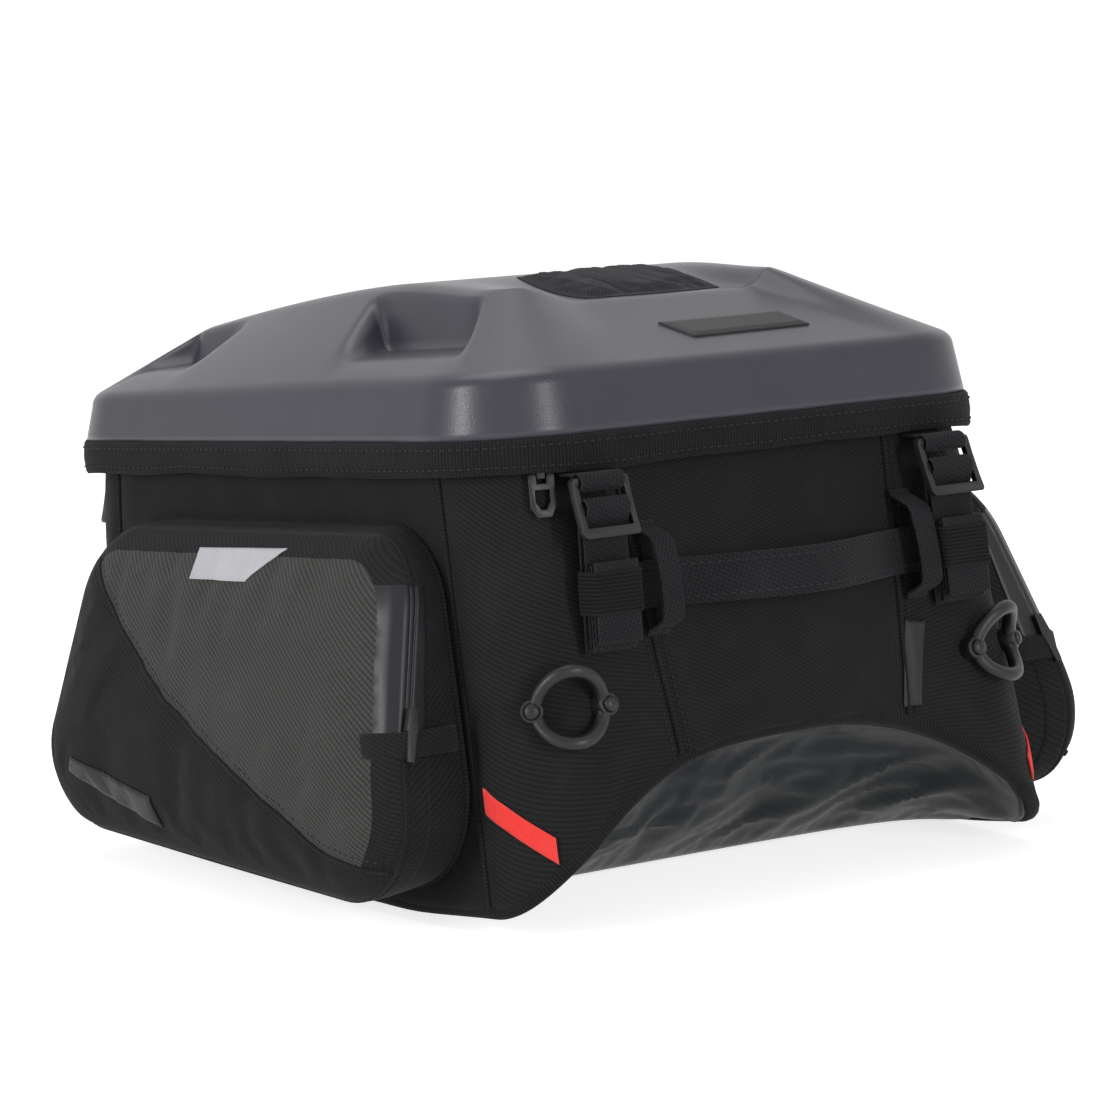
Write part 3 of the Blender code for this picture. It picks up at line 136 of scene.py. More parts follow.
@dataclass(frozen=True)
class BodyForm:
    """The bag's main form, with the sizes of the part's source."""

    width: float = 0.300
    depth: float = 0.366
    height: float = 0.199
    corner: float = 0.044
    side_flare: float = 0.006
    rear_flare: float = 0.026
    swell: float = 0.008
    seam_top: float = 0.082
    seam_foot: float = 0.060
    right_spread: float = 0.11
    spread_power: float = 0.7
    base_tilt: float = 4.4
    arch: float = 0.080
    arch_half: float = 0.160
    arch_power: float = 2.6
    scoop: float = 0.130
    piping: float = 0.004
    piping_lift: float = 0.0006
    overhang: float = 0.010
    fit: float = 0.0003

    @property
    def base_slope(self) -> float:
        """Return the slope of the base under the level rim."""
        return math.tan(math.radians(self.base_tilt))

    @property
    def foot_rear(self) -> float:
        """Return the depth of the rear wall at the base."""
        return -self.depth / 2 - self.rear_flare

    @property
    def corner_x(self) -> float:
        """Return the half width between the corner rounds."""
        return self.width / 2 - self.corner

    def settled(self, spot: Vector) -> Vector:
        """Return a point drawn with the rim level where the standing, slumped bag has it."""
        x, y, z = spot
        if x > 0.0 and z < self.height:
            x *= 1.0 + self.right_spread * (1.0 - z / self.height) ** self.spread_power
        return Matrix.Rotation(-math.radians(self.base_tilt), 3, "X") @ Vector((x, y, z))

    def plan(self, station: float, half_x: float, half_y: float, corner: float,
             middle: float = 0.0) -> Vector:
        """Return a point on a rounded rectangle.

        Args:
            station: place round the plan; 0 to 1 is the left half of the rear run, 1 to 2 the rear left
                corner, then left side, corner, front, corner, right side, corner, right half of the rear.
            half_x: half width.
            half_y: half depth.
            corner: corner radius.
            middle: depth of the rectangle's middle.

        Returns:
            The point as (x, y).
        """
        segment, share = divmod(station % 9.0, 1.0)
        inner_x, inner_y = half_x - corner, half_y - corner
        sine, cosine = corner * math.sin(share * math.pi / 2), corner * math.cos(share * math.pi / 2)
        spots = (
            (-inner_x * share, -half_y),
            (-inner_x - sine, -inner_y - cosine),
            (-half_x, mix(-inner_y, inner_y, share)),
            (-inner_x - cosine, inner_y + sine),
            (mix(-inner_x, inner_x, share), half_y),
            (inner_x + sine, inner_y + cosine),
            (half_x, mix(inner_y, -inner_y, share)),
            (inner_x + cosine, -inner_y - sine),
            (inner_x * (1.0 - share), -half_y),
        )
        x, y = spots[int(segment)]
        return Vector((x, y + middle))

    def flare(self, z: float, full: float) -> float:
        """Return how far a wall stands outside its top edge at a height."""
        return full * (1.0 - min(z / self.height, 1.0))

    def footprint(self, z: float) -> tuple[float, float, float]:
        """Return the walls' half width, half depth and middle depth at a height."""
        rear, front = self.flare(z, self.rear_flare), self.flare(z, self.side_flare)
        return self.width / 2 + front, (self.depth + rear + front) / 2, (front - rear) / 2

    def bulge(self, x: float, z: float) -> float:
        """Return how far the stuffed rear centre panel swells at a place."""
        if abs(x) >= self.seam_top:
            return 0.0
        across = math.cos(math.pi * x / (2 * self.seam_top)) ** 2
        return self.swell * across * math.sin(math.pi * min(max(z / self.height, 0.0), 1.0))

    def wall(self, station: float, z: float, out: float = 0.0) -> Vector:
        """Return a point on the wall, out metres outside its face."""
        half_x, half_y, middle = self.footprint(z)
        spot = self.plan(station, half_x + out, half_y + out, self.corner + out, middle)
        if not 1.0 <= station % 9.0 <= 8.0:
            spot.y -= self.bulge(spot.x, z)
        return Vector((spot.x, spot.y, z))

    def outward(self, station: float, z: float) -> Vector:
        """Return the direction square to the wall."""
        along = self.wall(station - 0.01, z) - self.wall(station + 0.01, z)
        upward = self.wall(station, z + 0.001) - self.wall(station, z - 0.001)
        return along.cross(upward).normalized()

    def side_x(self, y: float, z: float) -> float:
        """Return how far the side wall stands from the middle plane, corners included."""
        half_x, half_y, middle = self.footprint(z)
        past = abs(y - middle) - (half_y - self.corner)
        if past <= 0.0:
            return half_x
        return half_x - self.corner + math.sqrt(max(self.corner ** 2 - past ** 2, 0.0))

    def underside(self, x: float, y: float) -> float:
        """Return the height of the underside: flat, with the rear cut-out scooped up."""
        arch = max(1.0 - (abs(x) / self.arch_half) ** self.arch_power, 0.0)
        return self.base_slope * y + self.arch * arch * ease((y - self.foot_rear) / self.scoop)

    def foot(self, station: float, out: float = 0.0) -> Vector:
        """Return where the wall's face, or a line beside it, meets the underside."""
        level = self.wall(station, 0.0, out)
        return self.wall(station, self.underside(level.x, level.y), out)

    def wall_foot(self, station: float) -> float:
        """Return the height of the wall's lower edge, at the piping's middle."""
        return self.foot(station, -self.piping).z + self.piping_lift + self.piping

    def seam(self, z: float) -> float:
        """Return the half width of the centre panels at a height."""
        return mix(self.seam_foot, self.seam_top, z / self.height)

    def seam_station(self, z: float) -> float:
        """Return the wall station of the rear seam at a height."""
        return self.seam(z) / (self.corner_x + self.flare(z, self.side_flare))


FORM = BodyForm()


def running(spots: Sequence[Vector]) -> list[float]:
    """Return the length run from the first point to each."""
    lengths = [0.0]
    for before, here in zip(spots, spots[1:]):
        lengths.append(lengths[-1] + (here - before).length)
    return lengths


def sheet(columns: Sequence[float], rows: Sequence[float], place: Place) -> BMesh:
    """Return a grid whose corners are set by place, with a UV map in metres; edges that meet are joined.

    Args:
        columns: values of place's first argument.
        rows: values of its second.
        place: gives each corner.
    """
    bm = bmesh.new()
    wide, tall = len(columns) - 1, len(rows) - 1
    bmesh.ops.create_grid(bm, x_segments=wide, y_segments=tall, size=1.0)
    spots = [[place(column, row) for row in rows] for column in columns]
    along = running([line[tall // 2] for line in spots])
    across = running(spots[wide // 2])
    flat = {v: (round((v.co.x + 1) / 2 * wide), round((v.co.y + 1) / 2 * tall)) for v in bm.verts}
    chart = bm.loops.layers.uv.new("UVMap")
    for face in bm.faces:
        for loop in face.loops:
            column, row = flat[loop.vert]
            loop[chart].uv = (along[column], across[row])
    for vert, (column, row) in flat.items():
        vert.co = spots[column][row]
    bmesh.ops.remove_doubles(bm, verts=bm.verts, dist=2e-6)
    return bm


TAPE_EDGE = ((-1.0, 0.4), (-0.94, 0.9), (-0.8, 1.0), (-0.4, 1.0), (0.0, 1.0), (0.4, 1.0), (0.8, 1.0),
             (0.94, 0.9), (1.0, 0.4))
TAPE_SECTION = TAPE_EDGE + tuple((across, -out) for across, out in TAPE_EDGE[::-1]) + TAPE_EDGE[:1]


def close(bm: BMesh) -> BMesh:
    """Return a mesh with its open ends filled and its faces turned outward."""
    bmesh.ops.holes_fill(bm, edges=[edge for edge in bm.edges if edge.is_boundary], sides=0)
    bmesh.ops.recalc_face_normals(bm, faces=bm.faces)
    return bm


def band(path: Sequence[Vector], across: Vector, width: float, thick: float) -> BMesh:
    """Return a closed strip of webbing that follows a path.

    Args:
        path: points along its middle.
        across: direction of its width.
        width: full width.
        thick: full thickness.
    """
    last = len(path) - 1

    def place(index: int, corner: int) -> Vector:
        way = path[min(index + 1, last)] - path[max(index - 1, 0)]
        face = across.cross(way).normalized()
        side, out = TAPE_SECTION[corner]
        return path[index] + across * (side * width / 2) + face * (out * thick / 2)
    return close(sheet(range(last + 1), range(len(TAPE_SECTION)), place))


def tube(path: Sequence[Vector], radius: float, up: Vector, sides: int = 10, flat: float = 1.0,
         looped: bool = False) -> BMesh:
    """Return a closed tube that follows a path.

    Args:
        path: points along its middle; a looped path joins its last to its first.
        radius: half thickness.
        up: a direction that is never along the path.
        sides: faces round the tube.
        flat: share of the radius kept square to up.
        looped: whether the path is a ring.
    """
    points = list(path) + [path[0]] if looped else list(path)
    last = len(points) - 1

    def place(index: int, turn: int) -> Vector:
        back = points[last - 1] if looped and index == 0 else points[max(index - 1, 0)]
        ahead = points[1] if looped and index == last else points[min(index + 1, last)]
        way = (ahead - back).normalized()
        side = way.cross(up).normalized()
        angle = 2 * math.pi * (turn % sides) / sides
        return points[index] + (side * flat * math.cos(angle) + side.cross(way) * math.sin(angle)) * radius
    return close(sheet(range(last + 1), range(sides + 1), place))


def resampled(path: Sequence[Vector], pitch: float) -> list[tuple[Vector, Vector]]:
    """Return points at an even pitch along a path, each with its direction."""
    lengths = running(path)
    found, index = [], 0
    for step in range(int(lengths[-1] / pitch)):
        at = (step + 0.5) * pitch
        while lengths[index + 1] < at:
            index += 1
        share = (at - lengths[index]) / (lengths[index + 1] - lengths[index])
        found.append((path[index].lerp(path[index + 1], share), (path[index + 1] - path[index]).normalized()))
    return found


def stitches(path: Sequence[Vector], face: Callable[[Vector], Vector], length: float = 0.0030,
             gap: float = 0.0013, thread: float = 0.0007) -> BMesh:
    """Return a row of thread stitches lying on a surface.

    Args:
        path: the row's line on the surface.
        face: gives the surface's direction at a point.
        length: of one stitch.
        gap: between stitches.
        thread: thickness.
    """
    bm = bmesh.new()
    for spot, way in resampled(path, length + gap):
        up = face(spot).normalized()
        side = way.cross(up).normalized()
        turn = Matrix((way * length / 2, side * thread / 2, up * thread / 2)).transposed().to_4x4()
        bmesh.ops.create_uvsphere(bm, u_segments=6, v_segments=4, radius=1.0,
                                  matrix=Matrix.Translation(spot) @ turn)
    return bm


def merged(*meshes: BMesh) -> BMesh:
    """Return several meshes as one."""
    whole = bmesh.new()
    for part in meshes:
        store = bpy.data.meshes.new("part")
        part.to_mesh(store)
        part.free()
        whole.from_mesh(store)
        bpy.data.meshes.remove(store)
    return whole


def node_copy(node: str, edge: float, segments: int = 3, sharp: float = 25.0) -> BMesh:
    """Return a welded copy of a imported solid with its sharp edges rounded.

    Args:
        node: name of the solid.
        edge: width of the rounding.
        segments: faces across the rounding.
        sharp: edges that turn by more than this many degrees are rounded.
    """
    bm = bmesh.new()
    bm.from_mesh(FRAME["nodes"][node].data)
    bmesh.ops.remove_doubles(bm, verts=bm.verts, dist=1e-6)
    bmesh.ops.dissolve_limit(bm, angle_limit=math.radians(3.0), verts=bm.verts, edges=bm.edges)
    turned = [e for e in bm.edges if e.is_manifold and e.calc_face_angle() > math.radians(sharp)]
    bmesh.ops.bevel(bm, geom=turned, offset=edge, offset_type="OFFSET", segments=segments, profile=0.5,
                    affect="EDGES", clamp_overlap=True, material=-1)
    return bm


def piece(name: str, bm: BMesh, finishes: Iterable[Material], settle: bool = True) -> Object:
    """Return a smooth object made from a mesh.

    Args:
        name: of the object.
        bm: the mesh, which is freed.
        finishes: its materials, in slot order.
        settle: whether the mesh is drawn with the rim level and still has to be carried to its place.
    """
    if settle:
        for vert in bm.verts:
            vert.co = FORM.settled(vert.co)
    for part in bm.faces:
        part.smooth = True
    bm.normal_update()
    mesh = bpy.data.meshes.new(name)
    bm.to_mesh(mesh)
    bm.free()
    for finish in finishes:
        mesh.materials.append(finish)
    made = bpy.data.objects.new(f"{name}_look" if name in FRAME["nodes"] else name, mesh)
    bpy.context.scene.collection.objects.link(made)
    return made


def fixed(made: Object, body: str, slot: str, *nodes: str) -> Object:
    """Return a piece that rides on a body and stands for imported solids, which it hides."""
    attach(made, body)
    if nodes:
        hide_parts(*nodes)
    LOG.info("%s rides on %s", made.name, body)
    return made


def face_from(bm: BMesh, centre: Vector) -> BMesh:
    """Return an open mesh with its faces turned away from a point."""
    bmesh.ops.recalc_face_normals(bm, faces=bm.faces)
    bm.normal_update()
    lean = sum(face.normal.dot(face.calc_center_median() - centre) * face.calc_area() for face in bm.faces)
    if lean < 0.0:
        bmesh.ops.reverse_faces(bm, faces=bm.faces)
    return bm


def thicken(made: Object, thick: float, inner_slot: int = 0) -> Object:
    """Return an open sheet made as thick as its cloth, inward, with an inner finish if it has one."""
    wall = made.modifiers.new("Cloth thickness", "SOLIDIFY")
    wall.thickness = thick
    wall.offset = -1.0
    wall.material_offset = inner_slot
    return made


@dataclass(frozen=True)
class ClothRun:
    """A short cloth simulation that lets sewn fabric swell and pucker between its seams."""

    pressure: float = 3.0
    slack: float = 0.02
    cap: float = 0.006
    frames: int = 18
    tension: float = 12.0
    bending: float = 0.4

    def relax(self, made: Object, held: Callable[[Vector], bool]) -> Object:
        """Return a piece after its cloth has settled, with the result in its mesh.

        Args:
            made: an object with no modifiers.
            held: says which points are sewn down.
        """
        mesh = made.data
        sewn = made.vertex_groups.new(name="sewn")
        sewn.add([vert.index for vert in mesh.vertices if held(vert.co)], 1.0, "REPLACE")
        cloth = made.modifiers.new("Cloth", "CLOTH")
        cloth.settings.quality = 6
        cloth.settings.mass = 0.25
        cloth.settings.tension_stiffness = self.tension
        cloth.settings.compression_stiffness = self.tension
        cloth.settings.shear_stiffness = self.tension / 2
        cloth.settings.bending_stiffness = self.bending
        cloth.settings.air_damping = 4.0
        cloth.settings.vertex_group_mass = sewn.name
        cloth.settings.use_pressure = True
        cloth.settings.uniform_pressure_force = self.pressure
        cloth.settings.shrink_min = -self.slack
        cloth.settings.effector_weights.gravity = 0.0
        cloth.collision_settings.use_collision = False
        cloth.collision_settings.use_self_collision = False
        cloth.point_cache.frame_start = 1
        cloth.point_cache.frame_end = self.frames
        scene = bpy.context.scene
        for frame in range(1, self.frames + 1):
            scene.frame_set(frame)
        shaped = made.evaluated_get(bpy.context.evaluated_depsgraph_get()).data
        ends = [vert.co.copy() for vert in shaped.vertices]
        made.modifiers.remove(cloth)
        made.vertex_groups.remove(sewn)
        scene.frame_set(1)
        for vert, end in zip(mesh.vertices, ends):
            move = end - vert.co
            if move.length > self.cap:
                move *= self.cap / move.length
            vert.co += move
        mesh.update()
        return made


def add(tree: NodeTree, kind: str, inputs: dict | None = None, **settings: object) -> Node:
    """Return a new shader node.

    Args:
        tree: the material's nodes.
        kind: node type.
        inputs: socket name or index to a constant, or to another node's output that feeds it.
        settings: the node's own options.
    """
    node = tree.nodes.new(kind)
    for option, value in settings.items():
        setattr(node, option, value)
    for key, value in (inputs or {}).items():
        if isinstance(value, NodeSocket):
            tree.links.new(value, node.inputs[key])
        else:
            node.inputs[key].default_value = value
    return node


def started(name: str) -> tuple[Material, NodeTree, Node]:
    """Return a new material with its nodes and its Principled shader."""
    material = bpy.data.materials.new(name)
    material.use_nodes = True
    return material, material.node_tree, material.node_tree.nodes["Principled BSDF"]


def blended(tree: NodeTree, share: object, first: object, second: object) -> NodeSocket:
    """Return a colour between two, each a colour or an output."""
    return add(tree, "ShaderNodeMix", {0: share, 6: first, 7: second}, data_type="RGBA").outputs[2]


def feed(tree: NodeTree, shader: Node, values: dict) -> None:
    """Set a shader's sockets from constants and outputs."""
    for key, value in values.items():
        if isinstance(value, NodeSocket):
            tree.links.new(value, shader.inputs[key])
        else:
            shader.inputs[key].default_value = value


@dataclass(frozen=True)
class Woven:
    """A woven fabric: threads in one or two directions with painted highlight on their crests and painted
    shade between them, soft tone changes, dust, a faint sheen and a painted highlight that makes standing-out
    edges paler.
    """

    name: str
    thread: str
    gap: str
    period: float
    angle: float = 45.0
    cross: float = 0.35
    relief: float = 0.0003
    roughness: float = 0.85
    sheen: float = 0.12
    dust_and_edge_highlight: str = "#3a3a3c"
    specular: float = 0.12

    def material(self) -> Material:
        """Return the fabric's material, its weave drawn on the cloth's own UV map in metres."""
        material, tree, shader = started(self.name)
        cloth = add(tree, "ShaderNodeTexCoord").outputs["UV"]
        scale = math.pi / (10 * self.period)
        rows = []
        for turn in (self.angle, self.angle + 90.0):
            laid = add(tree, "ShaderNodeMapping", {"Vector": cloth, "Rotation": (0, 0, math.radians(turn))})
            rows.append(add(tree, "ShaderNodeTexWave",
                            {"Vector": laid.outputs[0], "Scale": scale, "Distortion": 0.6, "Detail": 1.0,
                             "Detail Scale": 2.0}, wave_profile="SIN").outputs["Fac"])
        weave = add(tree, "ShaderNodeMix", {0: self.cross, 2: rows[0], 3: rows[1]}).outputs[0]
        soil = add(tree, "ShaderNodeTexNoise", {"Vector": cloth, "Scale": 38.0, "Detail": 4.0}).outputs["Fac"]
        dust = add(tree, "ShaderNodeMapRange",
                   {"Value": soil, "From Min": 0.45, "From Max": 0.85, "To Min": 0.0,
                    "To Max": 0.14}).outputs[0]
        # Painted highlight: the colour turns paler where an edge stands out; the same paler colour also
        # serves as dust.
        edge_highlight = self.painted_edge_highlight(tree)
        # The weave's pattern, drawn as painted highlight on the thread crests and painted shade in the gaps
        # between them.
        plain = blended(tree, weave, linear(self.gap), linear(self.thread))
        dusty = blended(tree, dust, plain, linear(self.dust_and_edge_highlight))
        feed(tree, shader, {
            "Base Color": blended(tree, edge_highlight, dusty, linear(self.dust_and_edge_highlight)),
            "Roughness": self.roughness,
            "Specular IOR Level": self.specular,
            "Sheen Weight": self.sheen,
            "Sheen Roughness": 0.4,
            "Normal": add(tree, "ShaderNodeBump", {"Height": weave, "Distance": self.relief,
                                                   "Strength": 0.7}).outputs[0],
        })
        return material

    @staticmethod
    def painted_edge_highlight(tree: NodeTree) -> NodeSocket:
        """Return a share that rises where an edge stands out, for a painted highlight there."""
        form = add(tree, "ShaderNodeNewGeometry").outputs["Pointiness"]
        return add(tree, "ShaderNodeMapRange",
                   {"Value": form, "From Min": 0.54, "From Max": 0.62, "To Min": 0.0,
                    "To Max": 0.30}).outputs[0]


@dataclass(frozen=True)
class Moulded:
    """A moulded surface: fine grain, slow tone changes and a painted highlight that makes standing-out edges
    slightly paler.
    """

    name: str
    colour: str
    shade: str
    edge: str
    grain: float
    relief: float
    roughness: float
    gloss: float = 0.0
    specular: float = 0.4
    patch: float = 0.03

    def material(self) -> Material:
        """Return the material, its grain drawn in object space."""
        material, tree, shader = started(self.name)
        space = add(tree, "ShaderNodeTexCoord").outputs["Object"]
        slow = add(tree, "ShaderNodeTexNoise", {"Vector": space, "Scale": 1 / self.patch,
                                                "Detail": 3.0}).outputs["Fac"]
        fine = add(tree, "ShaderNodeTexNoise", {"Vector": space, "Scale": 1 / self.grain,
                                                "Detail": 2.0}).outputs["Fac"]
        tone = blended(tree, slow, linear(self.shade), linear(self.colour))
        polish = add(tree, "ShaderNodeMapRange", {"Value": fine, "To Min": self.roughness - 0.06,
                                                  "To Max": self.roughness + 0.06}).outputs[0]
        feed(tree, shader, {
            # Painted highlight: the paler edge colour where an edge stands out.
            "Base Color": blended(tree, Woven.painted_edge_highlight(tree), tone, linear(self.edge)),
            "Roughness": polish,
            "Specular IOR Level": self.specular,
            "Coat Weight": self.gloss,
            "Coat Roughness": 0.25,
            "Normal": add(tree, "ShaderNodeBump", {"Height": fine, "Distance": self.relief,
                                                   "Strength": 0.6}).outputs[0],
        })
        return material


class Finish(Enum):
    """Every finish on the bag, named for the real material, with what it gives the eye."""

    # Black ballistic nylon whose diagonal hatch shows as fine paler lines; drawn a little coarse.
    NYLON = Woven("ballistic nylon 1680D", "#222224", "#111112", 0.0019, 58.0, 0.30, 0.00025, 0.82, 0.03)
    # Charcoal ribbed twill on the pockets, brown-grey with clear diagonal ribs.
    RIBBED = Woven("ribbed twill", "#484847", "#2b2b2a", 0.0021, 52.0, 0.25, 0.00030, 0.85, 0.05, "#5a5a59")
    # Grosgrain binding with ribs across its width.
    BINDING = Woven("grosgrain binding", "#212123", "#0e0e0f", 0.0018, 0.0, 0.15, 0.00040, 0.85, 0.03)
    # Flat nylon webbing with a tight herringbone look.
    WEBBING = Woven("nylon webbing", "#242427", "#0e0e10", 0.0020, 63.0, 0.45, 0.00040, 0.75, 0.04)
    # Ribbed elastic of the strap keepers.
    ELASTIC = Woven("ribbed elastic", "#1e1e20", "#0a0a0b", 0.0018, 90.0, 0.10, 0.00040, 0.90, 0.03)
    # Softer dark fabric of the lid's padded insert.
    INSERT = Woven("padded insert fabric", "#323236", "#1f1f22", 0.0016, 45.0, 0.40, 0.00015, 0.85, 0.04)
    # Red tape, ribbed across, with a paler red painted highlight where an edge stands out.
    ACCENT = Woven("red grosgrain tape", "#ff4d47", "#d92f2c", 0.0010, 0.0, 0.10, 0.00025, 0.70, 0.10,
                   "#ff7a70")
    # Grey lining on the inside of the walls.
    LINING = Woven("polyester lining", "#3c3d40", "#2a2b2d", 0.0016, 45.0, 0.50, 0.00010, 0.85, 0.05)
    # Satin closed-cell foam of the lid: violet-grey with a soft highlight.
    FOAM = Moulded("moulded EVA foam", "#3b3a43", "#302f37", "#5c5b64", 0.0009, 0.00012, 0.33, 0.0, 0.36)
    # Black acetal of buckles and rings, semi-gloss with paler edges.
    ACETAL = Moulded("black acetal", "#18181a", "#101011", "#3e3e41", 0.0012, 0.00005, 0.42, 0.0, 0.36)
    # Water-repellent film over the zip: dark, smooth and shiny.
    ZIP = Moulded("coated zip tape", "#242428", "#19191c", "#414146", 0.0015, 0.00003, 0.36, 0.0, 0.28)
    # Blue-grey coated fabric under the bag, shiny along its creases.
    COATED = Moulded("coated floor fabric", "#14181c", "#0c0f12", "#2a3137", 0.0010, 0.00008, 0.42, 0.0, 0.18)
    # Rubber of the bare badges: deep black, slightly glossy.
    RUBBER = Moulded("badge rubber", "#1b1b1d", "#131314", "#3a3a3d", 0.0010, 0.00005, 0.48, 0.0, 0.28)
    # Silver retro-reflective fabric.
    MIRROR = Moulded("reflective tape", "#b4b4b9", "#9b9ba1", "#d0d0d4", 0.0008, 0.00010, 0.42, 0.15, 0.6)
    # Bonded polyester thread.
    THREAD = Moulded("bonded thread", "#2c2c2f", "#1f1f21", "#3d3d41", 0.0010, 0.00005, 0.60, 0.0, 0.2)
    # Stiff board on the floor inside.
    BOARD = Moulded("pressed board", "#2f2f31", "#242426", "#49494c", 0.0015, 0.00008, 0.70)


class Wardrobe:
    """Makes each finish once and hands it out."""

    def __init__(self) -> None:
        """Start with no materials."""
        self.made: dict[Finish, Material] = {}

    def __getitem__(self, finish: Finish) -> Material:
        """Return a finish's material, made on first use."""
        if finish not in self.made:
            self.made[finish] = finish.value.material()
        return self.made[finish]


@dataclass(frozen=True)
class SoftBox:
    """One large soft light."""

    name: str
    spot: tuple[float, float, float]
    aim: tuple[float, float, float]
    size: tuple[float, float]
    power: float

    def place(self) -> None:
        """Add the light to the scene."""
        light = bpy.data.lights.new(self.name, "AREA")
        light.shape = "RECTANGLE"
        light.size, light.size_y = self.size
        light.energy = self.power
        lamp = bpy.data.objects.new(self.name, light)
        lamp.location = self.spot
        lamp.rotation_euler = (Vector(self.aim) - Vector(self.spot)).to_track_quat("-Z", "Y").to_euler()
        bpy.context.scene.collection.objects.link(lamp)


@dataclass(frozen=True)
class Studio:
    """White floor, white surroundings, soft lights and the photograph's camera."""

    eye: tuple[float, float, float] = (-1.31034, -1.74358, 0.45318)
    right: tuple[float, float, float] = (0.799066, -0.600867, -0.021255)
    up: tuple[float, float, float] = (0.10364, 0.102831, 0.989285)
    ahead: tuple[float, float, float] = (0.592243, 0.792707, -0.144443)
    lens: float = 141.43
    shift: tuple[float, float] = (0.0300, 0.01054)
    dome: float = 0.36
    floor_half: float = 30.0
    boxes: tuple[SoftBox, ...] = (
        SoftBox("left strip", (-2.2, -0.1, 0.62), (-0.12, -0.15, 0.22), (0.20, 1.2), 26.0),
        SoftBox("rear strip", (0.05, -2.4, 0.62), (-0.10, -0.17, 0.22), (0.20, 1.2), 22.0),
        SoftBox("top light", (0.0, 0.3, 2.2), (0.0, 0.0, 0.2), (1.6, 1.6), 20.0),
    )

    def build(self) -> None:
        """Set up the floor, the surroundings, the lights and the camera."""
        scene = bpy.context.scene
        scene.view_settings.view_transform = "Standard"
        self.floor()
        self.surround(scene)
        for box in self.boxes:
            box.place()
        camera = bpy.data.cameras.new("photo camera")
        camera.lens = self.lens
        camera.sensor_width = 36.0
        camera.shift_x, camera.shift_y = self.shift
        camera.clip_end = 60.0
        seen = bpy.data.objects.new("photo camera", camera)
        turn = Matrix((self.right, self.up, tuple(-part for part in self.ahead))).transposed().to_4x4()
        seen.matrix_world = Matrix.Translation(self.eye) @ turn
        scene.collection.objects.link(seen)
        scene.camera = seen
        LOG.info("studio ready")

    def floor(self) -> None:
        """Add the plain white floor, which also lights what faces it."""
        bm = bmesh.new()
        bmesh.ops.create_grid(bm, x_segments=1, y_segments=1, size=self.floor_half)
        material, tree, shader = started("white floor")
        path = add(tree, "ShaderNodeLightPath").outputs
        seen = add(tree, "ShaderNodeMath", {0: path["Is Camera Ray"], 1: path["Is Glossy Ray"]},
                   operation="ADD")
        feed(tree, shader, {"Base Color": linear("#e6e6e6"), "Roughness": 0.9, "Specular IOR Level": 0.0,
                            "Emission Color": (1.0, 1.0, 1.0, 1.0)})
        lift = add(tree, "ShaderNodeMath", {0: seen.outputs[0], 1: 0.75}, operation="MULTIPLY")
        feed(tree, shader, {"Emission Strength": lift.outputs[0]})
        ground = piece("floor", bm, [material], settle=False)

    def surround(self, scene: bpy.types.Scene) -> None:
        """Add the white surroundings: plain white to the eye, softer as a light."""
        world = bpy.data.worlds.new("white room")
        world.use_nodes = True
        tree = world.node_tree
        tree.nodes.clear()
        path = add(tree, "ShaderNodeLightPath").outputs
        some = add(tree, "ShaderNodeMath", {0: path["Is Camera Ray"], 1: path["Is Transmission Ray"]},
                   operation="ADD")
        seen = add(tree, "ShaderNodeMath", {0: some.outputs[0], 1: path["Is Glossy Ray"]}, operation="ADD",
                   use_clamp=True)
        strength = add(tree, "ShaderNodeMapRange",
                       {"Value": seen.outputs[0], "To Min": self.dome, "To Max": 1.0})
        sky = add(tree, "ShaderNodeBackground",
                  {"Color": (1.0, 1.0, 1.0, 1.0), "Strength": strength.outputs[0]})
        out = add(tree, "ShaderNodeOutputWorld")
        tree.links.new(sky.outputs[0], out.inputs["Surface"])
        scene.world = world


